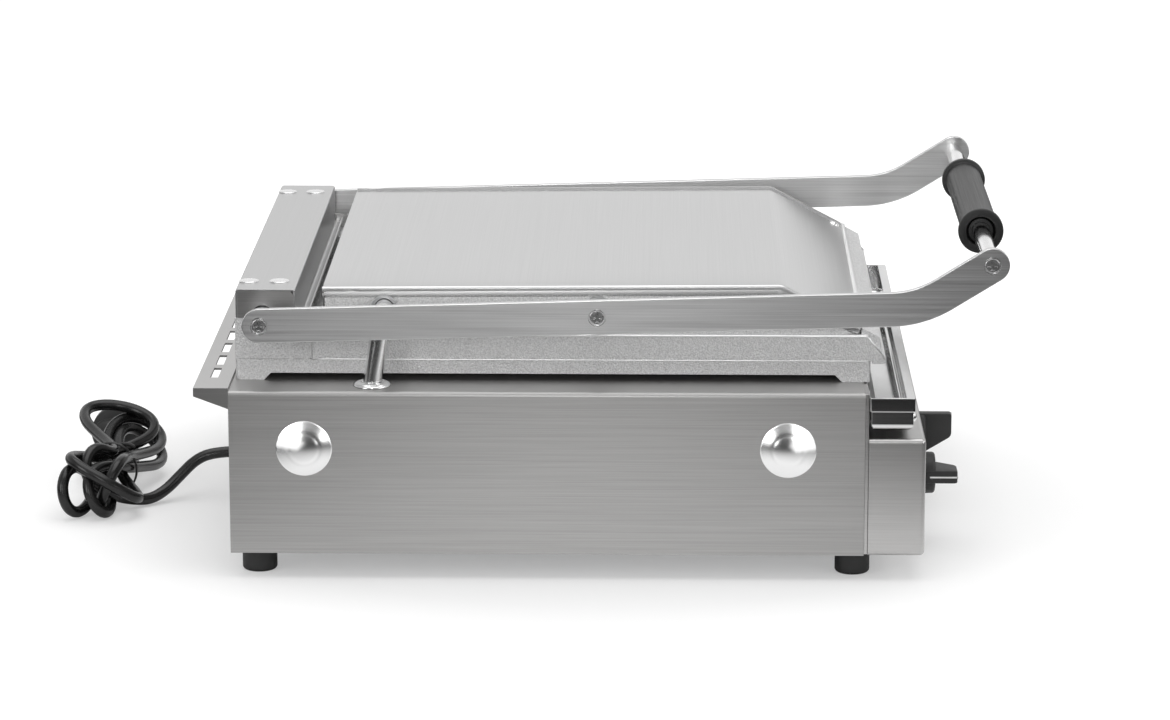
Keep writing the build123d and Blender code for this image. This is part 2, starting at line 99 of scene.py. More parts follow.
def tinted(tree, value, dark, light):
    # a colour between two ends, by a value from 0 to 1
    ramp = tree.nodes.new("ShaderNodeValToRGB")
    ramp.color_ramp.elements[0].color = (*dark, 1)
    ramp.color_ramp.elements[1].color = (*light, 1)
    tree.links.new(value, ramp.inputs["Fac"])
    return ramp.outputs["Color"]


def makeFinish(name, look):
    # colour and gloss follow one value, the grain plus a share of slow cloud; the bump takes the grain alone
    finish, tree, shader = newFinish(name)
    fine = grain(tree, look["stretch"], look.get("detail", 4.0), look.get("breakUp", 0.6))
    cloud = grain(tree, look.get("cloudSize", (7, 7, 7)), 3.0)
    both = tree.nodes.new("ShaderNodeMath")
    both.operation = "MULTIPLY_ADD"
    both.inputs[1].default_value = look.get("cloud", 0.35)
    tree.links.new(cloud, both.inputs[0])
    tree.links.new(mapped(tree, fine, 0.0, 1.0 - look.get("cloud", 0.35), 0.25, 0.75), both.inputs[2])
    tree.links.new(tinted(tree, both.outputs[0], look["dark"], look["light"]), shader.inputs["Base Color"])
    low, high = look["rough"]
    tree.links.new(mapped(tree, both.outputs[0], low, high), shader.inputs["Roughness"])
    shader.inputs["Metallic"].default_value = look.get("metal", 0.0)
    if "coat" in look:
        shader.inputs["Coat Weight"].default_value = look["coat"]
        shader.inputs["Coat Roughness"].default_value = look.get("coatRough", 0.2)
    if "specular" in look:
        shader.inputs["Specular IOR Level"].default_value = look["specular"]
    if "brush" in look:
        # the marks run round or along this axis, and the shine spreads square to them
        shader.inputs["Anisotropic"].default_value = look.get("spread", 0.75)
        run = tree.nodes.new("ShaderNodeTangent")
        run.direction_type = "RADIAL"
        run.axis = look["brush"]
        tree.links.new(run.outputs["Tangent"], shader.inputs["Tangent"])
    relief = tree.nodes.new("ShaderNodeBump")
    relief.inputs["Strength"].default_value = look.get("bump", 0.2)
    relief.inputs["Distance"].default_value = look.get("depth", 0.05) * mm
    tree.links.new(fine, relief.inputs["Height"])
    tree.links.new(relief.outputs["Normal"], shader.inputs["Normal"])
    return finish


def grey(value, warm=0.0):
    # a grey, with red raised and blue lowered by the warm share
    return (value * (1 + warm), value, value * (1 - warm))


# grains per metre along X, Y and Z in stretch; depth of the bump in millimetres
looks = {
    "brushedAlong": dict(metal=1, dark=grey(0.32, 0.01), light=grey(0.46, 0.01), rough=(0.32, 0.40), brush="Y",
                         stretch=(1500, 9, 1500), cloudSize=(3, 1.5, 20), cloud=0.3, bump=0.12, depth=0.02),
    "boxSheet": dict(metal=1, dark=grey(0.44, 0.01), light=grey(0.58, 0.01), rough=(0.27, 0.35),
                     stretch=(9, 9, 1500), cloudSize=(3, 3, 12), cloud=0.3, bump=0.12, depth=0.02),
    "coverSheet": dict(metal=1, dark=grey(0.60), light=grey(0.71), rough=(0.29, 0.36),
                       stretch=(6, 1200, 1200), cloudSize=(1.5, 5, 5), cloud=0.4, bump=0.08, depth=0.02),
    "channelSheet": dict(metal=1, dark=grey(0.53), light=grey(0.61), rough=(0.27, 0.33),
                         stretch=(5, 900, 900), cloudSize=(2, 8, 8), cloud=0.4, bump=0.04, depth=0.02),
    "barSteel": dict(metal=1, dark=grey(0.55), light=grey(0.85), rough=(0.26, 0.36), brush="Y", spread=0.6,
                     stretch=(1000, 7, 1000), cloudSize=(3, 6, 12), cloud=0.3, bump=0.14, depth=0.02),
    "castPlate": dict(metal=0.85, dark=grey(0.57), light=grey(1.0), rough=(0.44, 0.60),
                      stretch=(900, 900, 900), cloudSize=(30, 30, 30), cloud=0.2, detail=2.5,
                      bump=1.0, depth=0.5),
    "machined": dict(metal=1, dark=grey(0.86), light=grey(0.95), rough=(0.28, 0.36),
                     stretch=(900, 20, 900), cloud=0.3, bump=0.1, depth=0.02),
    "polished": dict(metal=1, dark=grey(0.76), light=grey(0.86), rough=(0.07, 0.14),
                     stretch=(300, 300, 300), cloud=0.4, bump=0.05, depth=0.02),
    "mirrorSheet": dict(metal=1, dark=grey(0.62), light=grey(0.74), rough=(0.09, 0.15),
                        stretch=(12, 12, 900), cloud=0.4, bump=0.05, depth=0.02),
    "zincSteel": dict(metal=1, dark=grey(0.48, -0.01), light=grey(0.66, -0.01), rough=(0.34, 0.5),
                      stretch=(420, 420, 420), cloud=0.5, bump=0.15, depth=0.04),
    "screwSteel": dict(metal=1, dark=grey(0.54), light=grey(0.68), rough=(0.24, 0.32),
                       stretch=(700, 700, 700), cloud=0.5, bump=0.15, depth=0.04),
    "satinSteel": dict(metal=1, dark=grey(0.78), light=grey(0.86), rough=(0.17, 0.23),
                       stretch=(500, 500, 500), cloud=0.5, bump=0.08, depth=0.02),
    "rivetSteel": dict(metal=1, dark=grey(0.86), light=grey(0.94), rough=(0.24, 0.30),
                       stretch=(500, 500, 500), cloud=0.5, bump=0.1, depth=0.03),
    "blackPlastic": dict(dark=grey(0.010), light=grey(0.022), rough=(0.40, 0.52),
                         stretch=(2300, 2300, 2300), cloud=0.3, bump=0.35, depth=0.05),
    "gripPlastic": dict(dark=grey(0.009), light=grey(0.020), rough=(0.36, 0.50),
                        stretch=(20, 1500, 1500), cloud=0.3, bump=0.3, depth=0.05),
    "blackRubber": dict(dark=grey(0.010), light=grey(0.022), rough=(0.52, 0.68),
                        stretch=(1500, 1500, 1500), cloud=0.3, bump=0.4, depth=0.06),
    "cordSheath": dict(dark=grey(0.005), light=grey(0.010), rough=(0.22, 0.30),
                       stretch=(900, 900, 900), cloud=0.4, bump=0.12, depth=0.04),
    "blackPaint": dict(dark=grey(0.012), light=grey(0.024), rough=(0.36, 0.5),
                       stretch=(1300, 1300, 1300), cloud=0.3, bump=0.3, depth=0.04),
    "insulation": dict(dark=(0.55, 0.52, 0.44), light=(0.78, 0.74, 0.64), rough=(0.85, 0.95),
                       stretch=(700, 700, 700), cloud=0.4, bump=0.8, depth=0.4),
    "creamPlastic": dict(dark=(0.62, 0.58, 0.48), light=(0.72, 0.68, 0.58), rough=(0.35, 0.45),
                         stretch=(900, 900, 900), cloud=0.3, bump=0.1, depth=0.03),
    "tieWire": dict(dark=grey(0.010), light=grey(0.022), rough=(0.3, 0.42),
                    stretch=(1500, 1500, 1500), cloud=0.3, bump=0.1, depth=0.03),
    "dialWhite": dict(dark=grey(0.72), light=grey(0.82), rough=(0.45, 0.55),
                      stretch=(1500, 1500, 1500), cloud=0.3, bump=0.1, depth=0.02),
}
finishes = {name: makeFinish(name, look) for name, look in looks.items()}
print("finishes made:", len(finishes))


# finish: the nodes that take it, with how far their edges are broken in millimetres
dressing = {
    "brushedAlong": {"body_shell": 0.5, "vent_guard_screws": 0.2},
    "boxSheet": {"control_box": 0.5, "front_panel": 0.3, "tray_rails": 0.2, "rear_vent_guard": 0.4,
                 "rear_panel": 0.3},
    "mirrorSheet": {"grease_tray": 0.4},
    "castPlate": {"lower_platen": 0.35, "upper_platen": 0.5, "left_hinge_tower": 0.8, "right_hinge_tower": 0.8},
    "polished": {"handle_rod": 0.4, "hinge_shaft": 0.3, "float_pins": 0.3, "cover_screws": 0.2,
                 "tray_studs": 0.2},
    "zincSteel": {"foot_screws": 0.2, "shaft_collars": 0.3, "base_plate": 0.3, "float_bushes": 0.2,
                  "conduit_clip": 0.3, "conduit_inlet": 0.3, "lower_heat_shield": 0.2,
                  "lower_heating_element": 0.0, "upper_heating_element": 0.0, "thermostat_bulb": 0.0,
                  "timer_spindle": 0.2, "thermostat_spindle": 0.2},
    "blackPlastic": {"switch_rocker": 0.3, "switch_housing": 0.3,
                     "grip_collars": 0.3, "timer_unit": 0.4, "thermostat_unit": 0.4},
    "blackRubber": {"rubber_feet": 0.8},
    "blackPaint": {"hinge_bushes": 0.2},
    "insulation": {"upper_insulation": 0.0, "lower_insulation": 0.0},
    "creamPlastic": {"terminal_block": 0.3},
}


# the gap that is closed in millimetres, and in degrees how flat joined faces lie and what counts as an edge
dressValues = {"gap": 0.002, "flat": 0.4, "corner": 32}


def evenShading(owner):
    # wide flat faces keep their own direction, and only the narrow rounded edges bend the shading
    even = owner.modifiers.new("shading", "WEIGHTED_NORMAL")
    even.weight = 100
    even.keep_sharp = True


def breakEdges(owner, width, corner):
    # a bevel in two steps along every edge that is sharper than the corner
    soft = owner.modifiers.new("edges", "BEVEL")
    soft.width = width * mm
    soft.segments = 2
    soft.limit_method = "ANGLE"
    soft.angle_limit = radians(corner)


def dress(node, finish, edge):
    # merges the loose triangles, breaks the sharp edges and lets the wide faces set the shading
    owned = nodes[node]
    owned.data.materials.clear()
    owned.data.materials.append(finishes[finish])
    owned.data.polygons.foreach_set("use_smooth", [True] * len(owned.data.polygons))
    merge = owned.modifiers.new("merge", "WELD")
    merge.merge_threshold = dressValues["gap"] * mm
    whole = owned.modifiers.new("faces", "DECIMATE")
    whole.decimate_type = "DISSOLVE"
    whole.angle_limit = radians(dressValues["flat"])
    if edge:
        breakEdges(owned, edge, dressValues["corner"])
    evenShading(owned)


for finish, group in dressing.items():
    for node, edge in group.items():
        dress(node, finish, edge)
print("CAD nodes dressed")


def skin(rows, ringed=True, ends="fan", looped=False):
    # faces join each point of a grid to its neighbours; the ends stay open, close with a fan to the middle of
    # the end row, or close with one flat face each
    count, wide = rows.shape[:2]
    at = np.arange(count * wide).reshape(count, wide)
    if looped:
        at = np.vstack([at, at[:1]])
    here = at if ringed else at[:, :-1]
    there = np.roll(at, -1, axis=1) if ringed else at[:, 1:]
    faces = np.stack([here[:-1], there[:-1], there[1:], here[1:]], axis=-1).reshape(-1, 4).tolist()
    points = rows.reshape(-1, 3)
    if ends == "flat":
        faces += [at[0, ::-1].tolist(), at[-1].tolist()]
    if ends == "fan" and not looped:
        points = np.vstack([points, rows[0].mean(axis=0), rows[-1].mean(axis=0)])
        hub = count * wide
        faces += np.stack([np.roll(at[0], -1), at[0], np.full(wide, hub)], axis=1).tolist()
        faces += np.stack([at[-1], np.roll(at[-1], -1), np.full(wide, hub + 1)], axis=1).tolist()
    return points, outward(points, faces)


def outward(points, faces):
    # signed volume: the sum of a . (b x c) over the triangles is negative when a shell is inside out
    three = np.array([(f[0], f[i], f[i + 1]) for f in faces for i in range(1, len(f) - 1)])
    a, b, c = points[three].transpose(1, 0, 2)
    return faces if np.sum(a * np.cross(b, c)) >= 0 else [f[::-1] for f in faces]


def sweep(path, radius, across, sides=24):
    # a ring round every path point: point + radius (cos t side + sin t other), with side = run x across
    run = np.gradient(path, axis=0)
    side = np.cross(run, across)
    side /= np.linalg.norm(side, axis=1)[:, None]
    other = np.cross(side, run)
    other /= np.linalg.norm(other, axis=1)[:, None]
    turn = np.linspace(0, 2 * pi, sides, endpoint=False)
    radius = np.broadcast_to(radius, len(path))[:, None, None]
    ring = np.cos(turn)[None, :, None] * side[:, None] + np.sin(turn)[None, :, None] * other[:, None]
    return skin(path[:, None] + radius * ring)


def turned(profile, centre, axis, sides=64, shape=None, looped=False):
    # a surface of revolution: place along the axis, and radius (times a shape) round it
    along, out = np.array(profile, float).T
    turn = np.linspace(0, 2 * pi, sides, endpoint=False)
    out = out[:, None] * np.ones(sides) if shape is None else shape(along[:, None], out[:, None], turn)
    first, second = out * np.cos(turn), out * np.sin(turn)
    along = along[:, None] * np.ones(sides)
    order = {"x": (along, first, second), "y": (first, along, second), "z": (first, second, along)}[axis]
    return skin(np.stack(order, axis=-1) + np.array(centre), looped=looped)


def gathered(name, surfaces):
    # one mesh in metres from surfaces in millimetres
    points, faces, start = [], [], 0
    for some, joined in surfaces:
        points.append(some)
        faces += [[i + start for i in face] for face in joined]
        start += len(some)
    mesh = bpy.data.meshes.new(name)
    mesh.from_pydata((np.vstack(points) * mm).tolist(), [], faces)
    return mesh


def piece(name, surfaces, finish, body=None, sharp=35):
    # a smooth mesh with its own finish, creased where faces meet at more than the sharp angle
    mesh = gathered(name, surfaces)
    mesh.polygons.foreach_set("use_smooth", [True] * len(mesh.polygons))
    if sharp:
        mesh.set_sharp_from_angle(angle=radians(sharp))
    mesh.materials.append(finishes[finish])
    made = bpy.data.objects.new(name, mesh)
    bpy.context.collection.objects.link(made)
    if body:
        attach(made, body)
    return made


def thicken(owner, sheet):
    # an open sheet gets its thickness on its inner side
    thick = owner.modifiers.new("sheet", "SOLIDIFY")
    thick.thickness = sheet * mm
    thick.offset = -1


def rounded(corners, radii, steps=8):
    # a line through flat corners, each turned with its own radius: an arc that touches both runs
    corners = np.array(corners, float)
    out = [corners[:1]]
    for before, here, after, radius in zip(corners, corners[1:], corners[2:], radii):
        inward, onward = before - here, after - here
        inward, onward = inward / np.linalg.norm(inward), onward / np.linalg.norm(onward)
        half = np.arccos(np.clip(inward @ onward, -1, 1)) / 2
        middle = here + (inward + onward) / np.linalg.norm(inward + onward) * radius / np.sin(half)
        a, b = here + inward * radius / np.tan(half) - middle, here + onward * radius / np.tan(half) - middle
        t = np.linspace(0, 1, steps)[:, None]
        turn = pi - 2 * half
        out.append(middle + (np.sin((1 - t) * turn) * a + np.sin(t * turn) * b) / np.sin(turn))
    return np.vstack(out + [corners[-1:]])


# the mains cord: out of the back, round the hank in half turns, and on to the plug
cordValues = {
    "radius": 4.0, "length": 1.8, "exit": (0, 269.6, 33.0),
    "lead": [(0, 269.6, 33), (0, 283, 32.2), (-2.5, 295, 27.5), (-8, 305, 18), (-16, 315, 8.6), (-26, 325, 4.4),
             (-34, 335.5, 6), (-42, 346, 10)],
    "firstLoop": [(-54.3, 350.1, 17.2), (-56.9, 364.7, 24), (-52.9, 368.6, 37.5), (-40, 362.5, 46.7),
                  (-26.6, 352, 38.8)],
    "waist": -11.0,
    # where the strands cross the waist, across and up
    "slots": [(352, 37.9), (361.1, 31.8), (347.7, 18.7), (341.3, 23.6), (357.9, 18.8), (341.7, 31.9),
              (360.5, 7.9), (368.9, 16.6), (362.1, 26.1)],
    # each half turn: reach along X, how far it opens, tilt of the opening, shift back, shift up
    "turns": [(84.4, 29.8, 8.7, -0.7, 13.9), (-62.2, 24.7, 28.7, -1.1, 5.3), (86.3, 18.8, 44.3, -7.6, 3.6),
              (-62.1, 17.5, 58.7, 12.4, -4.3), (90.4, 17.8, 37.7, -10.8, 10.4), (-55.0, 11.5, 107.2, 0.3, 3.8),
              (90.6, 21.3, 4.0, -1.0, -8.3), (-61.3, 18.8, 83.5, 16.1, -3.7)],
    # how far round each half turn its points stand, in degrees
    "round": [12, 34, 57, 79, 101, 123, 146, 168],
    "toPlug": [(5.9, 369.2, 26.2), (33, 371.1, 24.6), (53.3, 366.4, 20.4), (74, 366, 18.8), (88, 366, 18.8)],
}


def halfTurn(start, end, reach, opening, tilt, back, up):
    # x = waist + reach sin(t)^0.8; across and up = line from start to end + opening sin(2t) along the tilt
    # + shift sin(t)^2, so the loop opens in its middle and closes to the waist
    t = np.radians(cordValues["round"])
    start, end = np.array(start), np.array(end)
    x = cordValues["waist"] + reach * np.sin(t) ** 0.8
    lean = np.array([cos(radians(tilt)), sin(radians(tilt))])
    flat = start + (end - start) * (t / pi)[:, None] + opening * np.sin(2 * t)[:, None] * lean
    flat += np.sin(t)[:, None] ** 2 * np.array([back, up])
    return np.column_stack([x, flat])


def cordRoute(values):
    # the way out, the first loop, every half turn between two places on the waist, and the way to the plug
    waist, slots = values["waist"], values["slots"]
    parts = [values["lead"], values["firstLoop"], [(waist, *slots[0])]]
    for start, end, turn in zip(slots, slots[1:], values["turns"]):
        parts += [halfTurn(start, end, *turn), [(waist, *end)]]
    return np.vstack(parts + [values["toPlug"]])


route = cordRoute(cordValues) * mm
sheath = bpy.data.curves.new("mainsCord", "CURVE")
sheath.dimensions = "3D"
line = sheath.splines.new("NURBS")
line.points.add(len(route) - 1)
line.points.foreach_set("co", np.column_stack([route, np.ones(len(route))]).ravel())
line.order_u = 3
line.use_endpoint_u = True
line.resolution_u = 8
sheath.bevel_depth = cordValues["radius"] * mm
sheath.bevel_resolution = 6
sheath.use_fill_caps = True
sheath.materials.append(finishes["cordSheath"])
mainsCord = bpy.data.objects.new("mainsCord", sheath)
bpy.context.collection.objects.link(mainsCord)
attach(mainsCord, "base")
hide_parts("cord_lead", "cord_hank")

# the wire tie: a ring square to the hank with two ends twisted together
tieValues = {"centre": (-11, 354.5, 22.6), "wide": 18.2, "tall": 19.4, "thick": 0.75, "tilt": 3.0,
             "twists": 3.5, "endsFrom": (1.0, -8.0, -1.5), "endsReach": (-3.0, -9.0, 3.0), "endsSag": 4.0}


def tieRing(values, turnStart, shift):
    # y = wide cos t, z = tall sin t about the centre, with x wandering by a tilt and a slow wave
    t = np.linspace(0, 2 * pi, 90) + turnStart
    x = values["centre"][0] + values["tilt"] * np.cos(t + 0.6) + shift
    y = values["centre"][1] + values["wide"] * np.cos(t)
    z = np.maximum(values["centre"][2] + values["tall"] * np.sin(t), values["thick"] + 0.1)
    return sweep(np.column_stack([x, y, z]), values["thick"], (1, 0, 0), 10)


def tieEnds(values):
    # two wires round one short line that sags, half a turn apart: start + reach s - sag s^2 + thick (cos, sin)
    s = np.linspace(0, 1, 60)[:, None]
    start = np.array(values["centre"]) + (0, 0, values["tall"]) + values["endsFrom"]
    line = start + np.array(values["endsReach"]) * s - np.array([0, 0, values["endsSag"]]) * s * s
    surfaces = []
    for phase in (0, pi):
        turn = 2 * pi * values["twists"] * s + phase
        wire = line + values["thick"] * np.hstack([np.cos(turn), np.zeros_like(s), np.sin(turn)])
        surfaces.append(sweep(wire, values["thick"], (0, 0, 1), 10))
    return surfaces


wireTie = piece("wireTie", [tieRing(tieValues, 0.3, 0.0), tieRing(tieValues, 2.4, 1.7)] + tieEnds(tieValues),
                "tieWire", "base", sharp=None)
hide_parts("cord_tie")

# the plug: sections by x, half across, half up and squareness, and a pin's outline by x and radius
plugValues = {"centre": (366.0, 18.8), "pinApart": 9.5, "sections": [
    (79.6, 5.2, 5.2, 2.0), (80.4, 5.9, 5.9, 2.0), (84, 6.2, 6.2, 2.0), (84.8, 5.4, 5.4, 2.0),
    (86.6, 5.4, 5.4, 2.0), (87.4, 6.8, 6.8, 2.0), (90.4, 7.1, 7.1, 2.0), (91.2, 6.2, 6.2, 2.0),
    (93, 6.3, 6.3, 2.0), (93.8, 7.8, 7.8, 2.0), (97, 8.3, 8.3, 2.0), (98, 8.0, 8.0, 2.1),
    (99.4, 9.4, 8.6, 2.3), (101.5, 12.6, 9.6, 2.6), (104, 14.6, 10.6, 2.8),
    (104.6, 14.2, 10.2, 2.8), (105.6, 14.2, 10.2, 2.8), (106.2, 15.2, 11.6, 2.8), (107.4, 15.4, 11.8, 2.8),
    (108, 15.0, 11.4, 2.8), (109, 15.0, 11.6, 2.7), (109.8, 16.4, 14.4, 2.4), (110.6, 17.9, 17.4, 2.1),
    (111.6, 18.5, 18.4, 2.0), (120.6, 18.5, 18.4, 2.0), (121.6, 17.8, 17.7, 2.0), (121.9, 16.6, 16.5, 2.0)],
    "pin": [(121.6, 2.35), (122.4, 2.4), (131.2, 2.4), (131.5, 2.25), (131.9, 2.38), (138.9, 2.38),
            (140.1, 1.9), (140.8, 0.9)]}


def plugBody(values):
    # each section is a rounded square, |y|^n + |z|^n = 1, so size = (|cos t|^n + |sin t|^n)^(-1/n)
    x, wide, tall, square = np.array(values["sections"]).T[:, :, None]
    turn = np.linspace(0, 2 * pi, 72, endpoint=False)[None]
    c, s = np.cos(turn), np.sin(turn)
    size = (np.abs(c) ** square + np.abs(s) ** square) ** (-1 / square)
    y = values["centre"][0] + wide * size * c
    z = values["centre"][1] + tall * size * s
    return skin(np.stack([x * np.ones_like(y), y, z], axis=-1))


plugShell = piece("plugBody", [plugBody(plugValues)], "blackRubber", "base", sharp=50)
plugY, plugZ = plugValues["centre"]
plugPins = piece("plugPins", [turned(plugValues["pin"], (0, plugY + side, plugZ), "x", 24)
                              for side in (-plugValues["pinApart"], plugValues["pinApart"])],
                 "polished", "base")
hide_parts("plug")

# the strain relief, a cone with moulded rings; the collar is a share of its length
reliefValues = {"start": 249.6, "end": 269.6, "big": 8.5, "small": 5.2, "rings": 5, "ringDepth": 0.55,
                "collar": 0.12}


def reliefProfile(values):
    # radius falls in a straight line, with rings cut by depth (1 - |sin|^0.6), and a plain collar at the wall
    s = np.linspace(0, 1, 81)
    rings = values["ringDepth"] * (1 - np.abs(np.sin(pi * values["rings"] * s)) ** 0.6) * (s > values["collar"])
    out = values["big"] - 0.3 + (values["small"] - values["big"] + 0.3) * s - rings
    out = np.where(s < values["collar"], values["big"], out)
    out = np.concatenate([[values["big"] - 0.6], out, [values["small"] - 0.7]])
    along = values["start"] + (values["end"] - values["start"]) * s
    return np.column_stack([np.concatenate([[values["start"] + 0.02], along, [values["end"]]]), out])


reliefCone = turned(reliefProfile(reliefValues), (0, 0, cordValues["exit"][2]), "y", 48)
strainRelief = piece("strainRelief", [reliefCone], "blackRubber", "base", sharp=60)
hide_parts("strain_relief")
print("cord laid:", len(route), "points")


# the grip that turns on the handle rod
# half of its outline goes from the bore out, by place from the middle and radius
gripValues = {"centre": (0, -257.2, 215.4), "flutes": 18, "fluteDepth": 0.28, "fluteEnd": 86.5, "fluteFade": 3,
              "boreSide": 12, "waist": 12.75,
              "half": [(87.6, 6.25), (88.0, 6.6), (88.0, 9.6), (88.4, 10.0), (94.3, 10.0), (94.8, 10.4),
                       (95.0, 11.0), (95.0, 14.6), (94.8, 15.2), (94.2, 15.5), (91.0, 15.5), (90.3, 15.3),
                       (90.0, 14.8), (89.9, 13.6), (89.6, 13.1), (88.8, 12.85), (86.0, 12.72), (40.0, 12.72)]}


def fluted(along, out, turn):
    # shallow flutes, radius - depth |cos(half the flutes x turn)|^6, that stop before the flanges
    values = gripValues
    share = np.clip((values["fluteEnd"] - np.abs(along)) / values["fluteFade"], 0, 1)
    share = share * (out > values["boreSide"])
    return out - values["fluteDepth"] * share * np.abs(np.cos(values["flutes"] / 2 * turn)) ** 6


gripHalf = gripValues["half"]
gripOutline = [(-x, r) for x, r in gripHalf] + [(0, gripValues["waist"])] + gripHalf[::-1]
gripSleeve = piece("gripSleeve", [turned(gripOutline, gripValues["centre"], "x", 144, fluted, looped=True)],
                   "gripPlastic", "grip", sharp=50)
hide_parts("handle_grip")


# the two counterbalance springs round the hinge shaft
springValues = {"centre": (228.7, 172.4), "coil": 11.0, "wire": 1.45, "from": 41.5, "to": 138.5, "turns": 19,
                "closeTurns": 0.06, "closeReach": 0.035}


def spring(values, hand):
    # x runs evenly, y and z go round: a helix whose last turns at each end lie close together
    t = np.linspace(0, 1, values["turns"] * 28)
    close = np.interp(t, [0, values["closeTurns"], 1 - values["closeTurns"], 1],
                      [0, values["closeReach"], 1 - values["closeReach"], 1])
    x = hand * (values["from"] + (values["to"] - values["from"]) * close)
    turn = 2 * pi * values["turns"] * t
    y = values["centre"][0] + values["coil"] * np.cos(turn)
    z = values["centre"][1] + values["coil"] * np.sin(turn)
    return sweep(np.column_stack([x, y, z]), values["wire"], (1, 0, 0), 10)


springs = piece("springs", [spring(springValues, hand) for hand in (-1, 1)], "zincSteel",
                "lid_arms", sharp=None)
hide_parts("counterbalance_springs")
print("grip and springs made")


# the lid arms: places in the flat of the bar, along Y and Z
armValues = {"hinge": (228.7, 172.4), "corner": (-209.7, 185.7), "handle": (-257.2, 215.4),
             "float": (4.1, 179.2), "bend": 70.0, "halfHeight": 11.5, "inner": 204.0, "outer": 209.0,
             "edge": 0.55, "seat": 5.95, "seatDepth": 2.6}


def armSide(values, inset, side):
    # one side of the bar: a quarter circle, the middle line moved square to itself, and a quarter circle
    line = rounded([values["hinge"], values["corner"], values["handle"]], [values["bend"]], 30)
    run = np.gradient(line, axis=0)
    run /= np.linalg.norm(run, axis=1)[:, None]
    up = np.column_stack([run[:, 1], -run[:, 0]]) * side
    r = values["halfHeight"] - inset
    t = np.linspace(0, pi / 2, 16, endpoint=False)[:, None]
    back = line[0] + r * (-run[0] * np.cos(t) + up[0] * np.sin(t))
    front = line[-1] + r * (run[-1] * np.cos(t) + up[-1] * np.sin(t))
    return np.vstack([back, line + up * r, front[::-1]])


def arm(values, hand):
    # rings of the outline from the inner to the outer face, drawn in by edge (1 - sin t) at both, and strips
    # across the two faces
    t = np.linspace(0, pi / 2, 4)
    soft = values["edge"]
    inset = np.concatenate([soft - soft * np.sin(t), (soft - soft * np.sin(t))[::-1]])
    x = np.concatenate([values["inner"] + soft - soft * np.cos(t),
                        (values["outer"] - soft + soft * np.cos(t))[::-1]])
    rings = []
    for place, inward in zip(x, inset):
        top, bottom = armSide(values, inward, 1), armSide(values, inward, -1)
        ring = np.vstack([top, bottom[-2:0:-1]])
        rings.append(np.column_stack([np.full(len(ring), hand * place), ring]))
    points, faces = skin(np.array(rings), ends="open")
    wide, many = len(rings[0]), len(top)
    upper = np.arange(many)
    lower = np.concatenate([[0], np.arange(wide - 1, many - 1, -1), [many - 1]])
    ends = np.stack([upper[:-1], upper[1:], lower[1:], lower[:-1]], axis=1)
    last = (ends + wide * (len(rings) - 1))[:, ::-1]
    sides = [list(dict.fromkeys(face)) for face in ends.tolist() + last.tolist()]
    return points, outward(points, faces + sides)


def cut(owner, surfaces):
    # takes closed surfaces away from a piece, and keeps the result as its mesh
    cutter = bpy.data.objects.new("cutter", gathered("cutter", surfaces))
    bpy.context.collection.objects.link(cutter)
    hole = owner.modifiers.new("holes", "BOOLEAN")
    hole.operation = "DIFFERENCE"
    hole.solver = "EXACT"
    hole.object = cutter
    bpy.context.view_layer.update()
    result = bpy.data.meshes.new_from_object(owner.evaluated_get(bpy.context.evaluated_depsgraph_get()))
    owner.modifiers.clear()
    old, owner.data = owner.data, result
    bpy.data.meshes.remove(old)
    bpy.data.objects.remove(cutter)
    owner.data.set_sharp_from_angle(angle=radians(30))


# a cross-head screw: half width and half length of a slot with the slope of its walls, and how the rim falls
# from the face by radius
screwValues = {"slot": (1.1, 3.4), "slope": (0.3, 0.4), "recess": 2.2, "below": 0.05,
               "rim": [(0, 0.0), (4.5, 0.05), (4.75, 0.22), (4.89, 0.5), (4.9, 2.4)]}


def crossSlot(values, across, along):
    # 1 on the floor of a slot and 0 outside it, with straight walls between
    halfWide, halfLong = values["slot"]
    return (np.clip((halfWide - np.abs(across)) / values["slope"][0], 0, 1)
            * np.clip((halfLong - np.abs(along)) / values["slope"][1], 0, 1))


def screwHead(values, face, hand, y, z):
    # a disc, x = face - rim fall - recess, where the recess is a cross: the deeper of two crossed slots
    r = np.concatenate([np.linspace(0.0, 3.6, 30)[1:], np.linspace(3.8, 4.5, 4), [4.75, 4.9]])
    turn = np.linspace(0, 2 * pi, 96, endpoint=False)
    u, v = r[:, None] * np.cos(turn), r[:, None] * np.sin(turn)
    cross = np.maximum(crossSlot(values, u, v), crossSlot(values, v, u))
    fall = np.interp(r, *np.array(values["rim"]).T)[:, None]
    x = hand * (face - values["below"] - fall - values["recess"] * cross)
    return skin(np.stack([x, y + u, z + v], axis=-1))


screwSpots = [armValues[spot] for spot in ("hinge", "float", "handle")]
for node, hand in (("left_arm", -1), ("right_arm", 1)):
    bar = piece(node.replace("_arm", "Arm"), [arm(armValues, hand)], "barSteel", "lid_arms")
    seat = [(hand * (armValues["outer"] - armValues["seatDepth"]), armValues["seat"]),
            (hand * (armValues["outer"] + 1), armValues["seat"])]
    cut(bar, [turned(seat, (0, *spot), "x", 64) for spot in screwSpots])
    evenShading(bar)
    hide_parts(node)
armScrews = piece("armScrews", [screwHead(screwValues, armValues["outer"], hand, *spot) for hand in (-1, 1)
                                for spot in screwSpots], "screwSteel", "lid_arms", 40)
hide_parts("arm_screws")
print("arms and their screws made")


# the four domed caps on the side panels
capValues = {"x": 215.0, "y": (199.4, -123.5), "z": 90.4, "radius": 18.75, "rise": 3.45, "wall": 0.4,
             "dome": 1.15, "groove": {"deep": 0.07, "radius": 10.5, "wide": 1.3}}


